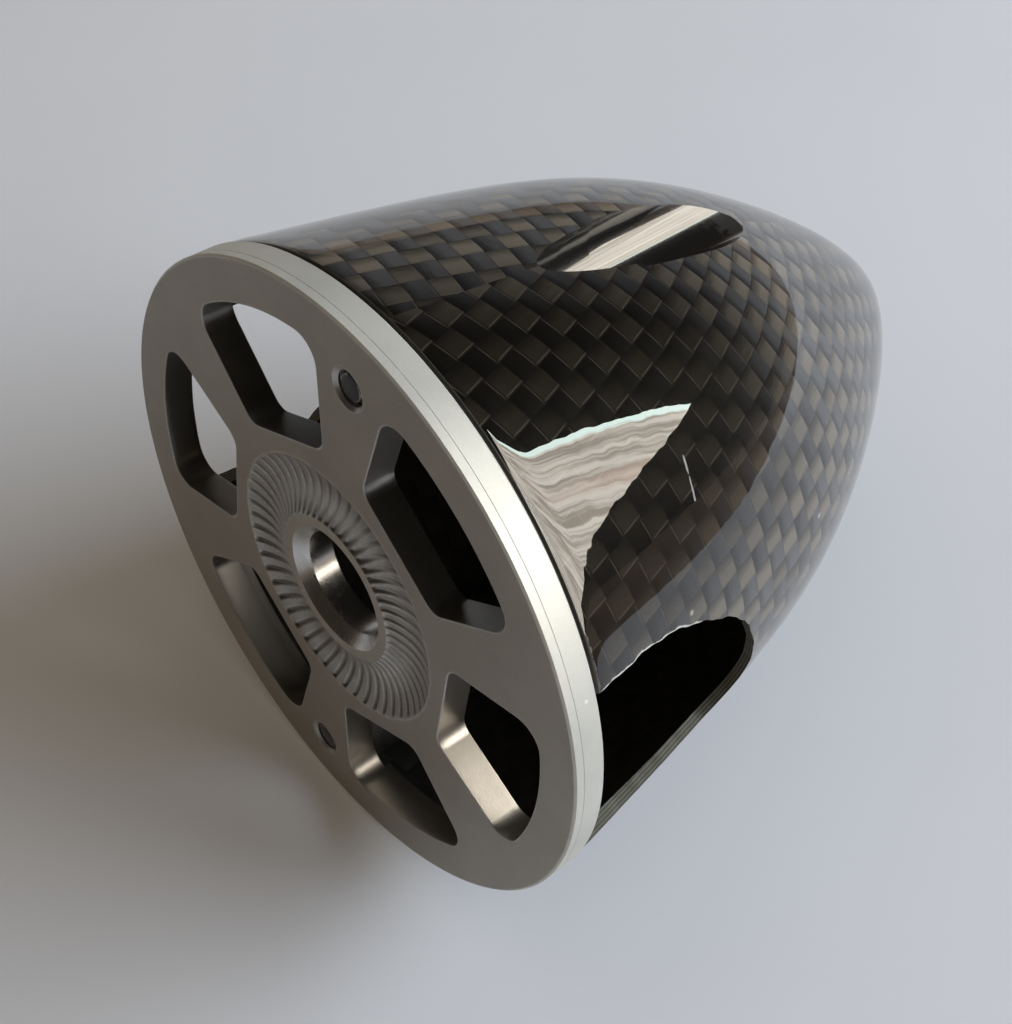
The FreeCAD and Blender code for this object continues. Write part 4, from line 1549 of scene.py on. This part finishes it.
@dataclass
class ConeScrew:
    """M3 cap screw with a hexagon socket, a knurled head and a rolled thread."""
    node: str
    head_radius: float = 2.75
    head_height: float = 3.0
    head_break: float = 0.3
    socket_corner: float = 1.443
    socket_depth: float = 1.3
    shank: float = 1.45
    length: float = 5.0
    tip: float = 0.35
    pitch: float = 0.5
    thread: float = 0.22
    knurl: float = 0.06
    count: int = 96
    sharp: float = math.radians(30)

    def __post_init__(self) -> None:
        """Take the screw's axis and the seat of its head from its node in the frame."""
        low, high = (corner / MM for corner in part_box(self.node))
        self.centre = round((low.x + high.x) / 2, 2), round((low.y + high.y) / 2, 2)
        self.seat = round(high.z, 2) - self.head_height

    def build(self, finish: bpy.types.Material) -> bpy.types.Object:
        """Model and dress the screw.

        Args:
            finish: its material.

        Returns:
            The finished object.
        """
        skin = loft(self.head_rings() + self.shank_rings())
        skin.verts.ensure_lookup_table()
        cap(skin, list(skin.verts[:self.count]), Part.MAIN)
        cap(skin, list(skin.verts[-1 - self.count:-1]), Part.MAIN)
        bmesh.ops.recalc_face_normals(skin, faces=skin.faces)
        piece = new_piece(self.node + "_visual", skin)
        mark_edges(piece, self.sharp)
        smooth(piece, self.sharp)
        dress(piece, self.node, [finish])
        return piece

    def ring(self, radius: float | np.ndarray, height: float) -> np.ndarray:
        """Ring round the screw's own axis.

        Args:
            radius: one radius, or one for each point.
            height: its height.

        Returns:
            The points.
        """
        turn = np.arange(self.count) * 2 * math.pi / self.count
        return np.stack([self.centre[0] + radius * np.cos(turn), self.centre[1] + radius * np.sin(turn),
                         np.full(self.count, height)], axis=1)

    def hexagon(self, corner: float) -> np.ndarray:
        """Radius of a hexagon at each point of a ring.

        Args:
            corner: distance of its corners from its middle.

        Returns:
            One radius for each point.
        """
        turn = np.arange(self.count) * 2 * math.pi / self.count
        flat = corner * math.cos(math.pi / 6)
        return flat / np.cos((turn % (math.pi / 3)) - math.pi / 6)

    def head_rings(self) -> list[np.ndarray]:
        """Rings from the socket's floor over the head to its underside.

        Returns:
            Rings of points.
        """
        top, brk = self.seat + self.head_height, self.head_break
        floor = top - self.socket_depth
        turn = np.arange(self.count) * 2 * math.pi / self.count
        ribs = self.head_radius - self.knurl * (0.5 + 0.5 * np.cos(turn * self.count / 3))
        rings = [self.ring(0.35, floor - 0.25), self.ring(self.hexagon(self.socket_corner), floor),
                 self.ring(self.hexagon(self.socket_corner), top - 0.12),
                 self.ring(np.maximum(self.hexagon(self.socket_corner), 1.42), top),
                 self.ring(self.head_radius - brk - 0.25, top), self.ring(self.head_radius - brk, top - 0.02),
                 self.ring(self.head_radius - self.knurl, top - brk)]
        rings += [self.ring(ribs, height) for height in (top - brk - 0.1, self.seat + 0.3)]
        return rings + [self.ring(self.head_radius - self.knurl, self.seat + 0.15),
                        self.ring(self.head_radius - 0.15, self.seat)]

    def shank_rings(self) -> list[np.ndarray]:
        """Rings of the threaded shank down to its tip.

        Returns:
            Rings of points.
        """
        turn = np.arange(self.count) / self.count
        end = self.seat - self.length
        rings = [self.ring(self.shank + 0.1, self.seat), self.ring(self.shank - self.thread, self.seat - 0.1)]
        for height in np.arange(self.seat - 0.3, end + self.tip, -self.pitch / 8):
            wave = np.abs(((height / self.pitch - turn) % 1.0) * 2 - 1)
            rings.append(self.ring(self.shank - self.thread * wave, height))
        return rings + [self.ring(self.shank - self.tip, end + 0.04),
                        self.ring(self.shank - self.tip - 0.12, end)]


# stage

@dataclass
class Stage:
    """Table, soft lamps and camera. The spinner lies on its flank on the table."""
    table_up: Vector = field(default_factory=lambda: Vector((-0.0209, -0.9881, -0.1535)).normalized())
    eye: Vector = field(default_factory=lambda: Vector((0.056192, -0.099420, -0.046445)))
    sight: Vector = field(default_factory=lambda: Vector((-0.409113, 0.770766, 0.488411)))
    lens: float = 53.15
    shift: tuple[float, float] = (-0.0090, 0.0121)
    middle: Vector = field(default_factory=lambda: Vector((0.0, 0.0, 0.03)))
    clearance: float = 0.00002
    table_size: float = 6.0
    table_fade: tuple[float, float] = (0.35, 1.3)
    table_tone: Colour = rgb(0.60, 0.60, 0.61)
    backdrop_tone: Colour = rgb(0.52, 0.53, 0.56)
    low_room_tone: Colour = rgb(0.27, 0.205, 0.12)
    high_room_tone: Colour = rgb(0.23, 0.20, 0.165)
    edge_tone: Colour = rgb(0.26, 0.19, 0.135)
    dark_tone: Colour = rgb(0.034, 0.028, 0.022)
    # profiles of the cards: a share of the sheet's reach, metres beyond it, and a height over the table
    edge_profile: tuple[tuple[float, float, float], ...] = ((1.0, 0.0, 0.001), (1.0, 0.02, 0.047))
    dark_profile: tuple[tuple[float, float, float], ...] = (
        (1.0, 0.02, 0.047), (0.0, 2.9, 0.05), (0.0, 2.9, 1.8), (0.0, 2.4, 3.2), (0.0, 1.2, 4.2),
        (0.0, 0.01, 4.4))
    # headings in degrees, each with how far the pale sheet on the table reaches there, in metres
    sheet: tuple[tuple[float, float], ...] = (
        (0, 0.55), (30, 0.5), (45, 0.5), (65, 0.62), (76, 0.55), (84, 0.3), (95, 0.2), (150, 0.25),
        (220, 0.4), (300, 0.5), (360, 0.55))
    # headings in degrees, each with the rise of the window's lower edge there, in degrees
    sill: tuple[tuple[float, float], ...] = (
        (69.9, 16.0), (79.0, 15.0), (84.0, 13.0), (87.0, 10.7), (92.0, 4.5), (115.0, 2.0))
    window_top: float = 46.0
    window_lean: float = 7.8
    window_distance: float = 2.5
    window_glow: float = 9.0
    curtain_tone: Colour = rgb(1.0, 0.94, 0.83)
    fold_tone: Colour = rgb(0.50, 0.44, 0.37)
    blush_tone: Colour = rgb(1.0, 0.74, 0.6)
    hem_tone: Colour = rgb(1.25, 1.5, 1.4)
    fold_depth: float = 0.012
    shine_spot: Vector = field(default_factory=lambda: Vector((0.015, -0.022, 0.013)))

    def build(self) -> None:
        """Set everything that isn't the object."""
        self.ahead = (self.sight - self.table_up * self.sight.dot(self.table_up)).normalized()
        self.right = self.ahead.cross(self.table_up).normalized()
        self.foot = self.middle - self.table_up * (self.middle.dot(self.table_up) - self.touch())
        self.table()
        self.world()
        self.cards()
        self.window()
        self.lamps()
        self.camera()
        bpy.context.scene.view_settings.view_transform = "Standard"

    def heading(self, angle: float, rise: float) -> Vector:
        """Direction at an angle to the right of straight ahead and a rise over the table, in degrees.

        Args:
            angle: the heading.
            rise: the rise.

        Returns:
            The direction, of length 1.
        """
        a, b = math.radians(angle), math.radians(rise)
        level = self.ahead * math.cos(a) + self.right * math.sin(a)
        return level * math.cos(b) + self.table_up * math.sin(b)

    def touch(self) -> float:
        """How high the spinner's lowest point is along the table's upward direction.

        Returns:
            The height in metres.
        """
        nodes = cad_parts.values()
        lowest = min(vert.co.dot(self.table_up) for node in nodes for vert in node.data.vertices)
        return lowest - self.clearance

    def table(self) -> None:
        """Wide table under the spinner, see-through from behind."""
        half = self.table_size / 2
        corners = [self.foot + (self.right * x + self.ahead * y) * half
                   for x, y in ((-1, -1), (1, -1), (1, 1), (-1, 1))]
        mesh = bpy.data.meshes.new("table")
        mesh.from_pydata([tuple(corner) for corner in corners], [], [(0, 1, 2, 3)])
        table = bpy.data.objects.new("table", mesh)
        bpy.context.scene.collection.objects.link(table)
        table.visible_shadow = False
        material, graph, shader = new_material("table_cloth")
        place = graph.position()
        mottle = graph.noise(place, 14.0, 3.0)
        colour = graph.blend(graph.step(mottle, 0.3, 0.7), self.table_tone, shade(self.table_tone, 0.96))
        seen = seen_backdrop(graph)
        far = graph.step(graph.vector("DISTANCE", place, tuple(self.foot), output=1), *self.table_fade)
        colour = graph.blend(far, colour, rgb(0.0, 0.0, 0.0))
        set_sockets(graph, shader, Base_Color=colour, Roughness=0.85, Specular_IOR_Level=0.2,
                    Emission_Color=self.backdrop_tone, Emission_Strength=graph.math("MULTIPLY", far, seen))
        clear = graph.node("BsdfTransparent")
        mix = graph.node("MixShader", {0: graph.node("NewGeometry").outputs["Backfacing"],
                                       1: shader.outputs[0], 2: clear.outputs[0]})
        graph.tree.links.new(mix.outputs[0], graph.tree.nodes["Material Output"].inputs[0])
        mesh.materials.append(material)

    def world(self) -> None:
        """Dim warm room light, with a pale backdrop wherever the room itself is seen."""
        world = bpy.data.worlds.new("room")
        bpy.context.scene.world = world
        world.use_nodes = True
        graph = Graph(world.node_tree)
        direction = graph.node("TexCoord").outputs["Generated"]
        rise = graph.vector("DOT_PRODUCT", direction, tuple(self.table_up), output=1)
        room = graph.blend(graph.step(rise, 0.1, 0.9), self.low_room_tone, self.high_room_tone)
        colour = graph.blend(seen_backdrop(graph), room, self.backdrop_tone)
        set_sockets(graph, world.node_tree.nodes["Background"], Color=colour, Strength=1.0)

    def card(self, name: str, rows: Sequence[Sequence[Vector]],
             material: bpy.types.Material) -> bpy.types.Object:
        """Staged card over a grid of points.

        Args:
            name: name of the card.
            rows: points in rows of equal count.
            material: what it shows.

        Returns:
            The card, unseen by the camera, with its grid as its texture coordinates.
        """
        width, height = len(rows[0]), len(rows)
        faces = [(r * width + c, r * width + c + 1, (r + 1) * width + c + 1, (r + 1) * width + c)
                 for r in range(height - 1) for c in range(width - 1)]
        mesh = bpy.data.meshes.new(name)
        mesh.from_pydata([tuple(point) for row in rows for point in row], [], faces)
        grid = mesh.uv_layers.new(name="grid")
        for corner, loop in zip(grid.data, mesh.loops):
            row, column = divmod(loop.vertex_index, width)
            corner.uv = column / (width - 1), row / (height - 1)
        mesh.materials.append(material)
        card = bpy.data.objects.new(name, mesh)
        bpy.context.scene.collection.objects.link(card)
        card.visible_camera = False
        return card

    def cards(self) -> None:
        """Dark room and table edge, which only gloss and metal show."""
        turns = np.arange(0, 361, 2)
        angles, far = [turn for turn, _ in self.sheet], [far for _, far in self.sheet]
        reach = np.mean([np.interp((turns + shift) % 360, angles, far) for shift in range(-6, 7, 2)], axis=0)
        turns = np.radians(turns)
        for name, profile, tone in (("table_edge_card", self.edge_profile, self.edge_tone),
                                    ("dark_room_card", self.dark_profile, self.dark_tone)):
            rows = [[self.foot + self.table_up * height
                     + (self.ahead * math.cos(a) + self.right * math.sin(a)) * (share * far + more)
                     for a, far in zip(turns, reach)] for share, more, height in profile]
            material, graph, shader = new_material(name)
            mottle = graph.noise(graph.position(), 2.0, 2.0)
            colour = graph.blend(mottle, tone, shade(tone, 0.7))
            set_sockets(graph, shader, Base_Color=rgb(0, 0, 0), Specular_IOR_Level=0.0, Emission_Color=colour,
                        Emission_Strength=1.0)
            card = self.card(name, rows, material)
            card.visible_diffuse = card.visible_shadow = card.visible_transmission = False

    def window(self) -> None:
        """Bright window behind a sheer curtain whose folds hang straight."""
        turns, sill = [turn for turn, _ in self.sill], [rise for _, rise in self.sill]
        rows = []
        for up in np.linspace(0, 1, 10):
            row = []
            for along in np.linspace(0, 1, 120):
                fold = 1 + self.fold_depth * math.sin(along * 95 + 3 * math.sin(along * 11))
                turn = turns[0] + (turns[-1] - turns[0]) * along
                rise = float(np.interp(turn, turns, sill))
                rise += (self.window_top - rise) * up
                point = self.heading(turn - self.window_lean * (1 - along) * up, rise)
                row.append(self.shine_spot + point * self.window_distance * fold)
            rows.append(row)
        material, graph, shader = new_material("curtain")
        u, v, _ = graph.xyz(graph.node("UVMap", uv_map="grid").outputs[0])
        folds = graph.node("CombineXYZ", {0: graph.math("MULTIPLY", u, 34.0),
                                          1: graph.math("MULTIPLY", v, 2.0)}).outputs[0]
        streak = graph.noise(folds, 1.0, 3.0, 0.55)
        colour = graph.blend(graph.step(streak, 0.38, 0.62), self.fold_tone, self.curtain_tone)
        tint = graph.noise(folds, 0.22, 1.0)
        colour = graph.blend(graph.step(tint, 0.55, 0.72, 0.0, 0.6), colour, self.blush_tone)
        hem = graph.math("MULTIPLY_ADD", graph.noise(folds, 3.0, 2.0), 0.03, u)
        colour = graph.blend(graph.step(hem, 0.035, 0.05, 1.0, 0.0), colour, self.hem_tone)
        set_sockets(graph, shader, Base_Color=rgb(0, 0, 0), Specular_IOR_Level=0.0, Emission_Color=colour,
                    Emission_Strength=self.window_glow)
        card = self.card("curtain_card", rows, material)
        card.visible_diffuse = card.visible_shadow = False

    def lamp(self, name: str, angle: float, rise: float, size: tuple[float, float], power: float,
             colour: tuple[float, float, float], distance: float = 0.9) -> bpy.types.Object:
        """Soft lamp that faces the spinner.

        Args:
            name: name of the lamp.
            angle: heading to the right of straight ahead, in degrees.
            rise: height over the table, in degrees.
            size: width and height in metres.
            power: watts.
            colour: colour of the light.
            distance: metres from the spinner.

        Returns:
            The lamp.
        """
        data = bpy.data.lights.new(name, "AREA")
        data.shape, data.size, data.size_y = "RECTANGLE", *size
        data.energy, data.color = power, colour
        lamp = bpy.data.objects.new(name, data)
        bpy.context.scene.collection.objects.link(lamp)
        direction = self.heading(angle, rise)
        lamp.location = self.middle + direction * distance
        self.face(lamp, direction)
        return lamp

    def face(self, made: bpy.types.Object, back: Vector) -> None:
        """Turn a lamp or camera so that it looks away from a direction, upright over the table.

        Args:
            made: the lamp or camera.
            back: the direction, of length 1.
        """
        across = self.table_up.cross(back).normalized()
        made.rotation_mode = "QUATERNION"
        made.rotation_quaternion = Matrix((across, back.cross(across), back)).transposed().to_quaternion()

    def lamps(self) -> None:
        """Daylight from the window, a soft light overhead and a weak fill from under the table."""
        daylight = self.lamp("window_light", angle=88, rise=30, size=(0.75, 0.55), power=13.4,
                             colour=(0.77, 0.87, 1.0))
        overhead = self.lamp("ceiling_light", angle=20, rise=74, size=(1.6, 1.2), power=2.2,
                             colour=(1.0, 0.95, 0.88), distance=1.3)
        daylight.visible_glossy = overhead.visible_glossy = False
        self.lamp("under_fill", angle=40, rise=-60, size=(0.9, 0.6), power=3.0, colour=(1.0, 1.0, 1.0))

    def camera(self) -> None:
        """Camera from behind the backplate, looking down on the table."""
        data = bpy.data.cameras.new("camera")
        data.lens, data.sensor_width = self.lens, 36.0
        data.shift_x, data.shift_y = self.shift
        data.clip_start, data.clip_end = 0.005, 20.0
        camera = bpy.data.objects.new("camera", data)
        bpy.context.scene.collection.objects.link(camera)
        self.face(camera, -self.sight.normalized())
        camera.location = self.eye
        bpy.context.scene.camera = camera


def main() -> None:
    """Build every piece, dress it and set the stage."""
    effects = Effects()
    Backplate().build(effects)
    Cone().build(effects)
    oxide = BlackOxide().build(effects)
    for node in ("cone_screw_1", "cone_screw_2"):
        ConeScrew(node).build(oxide)
    Stage().build()


if __name__ == "__main__":
    logging.basicConfig(level=logging.INFO, format="%(name)s: %(message)s")
    main()
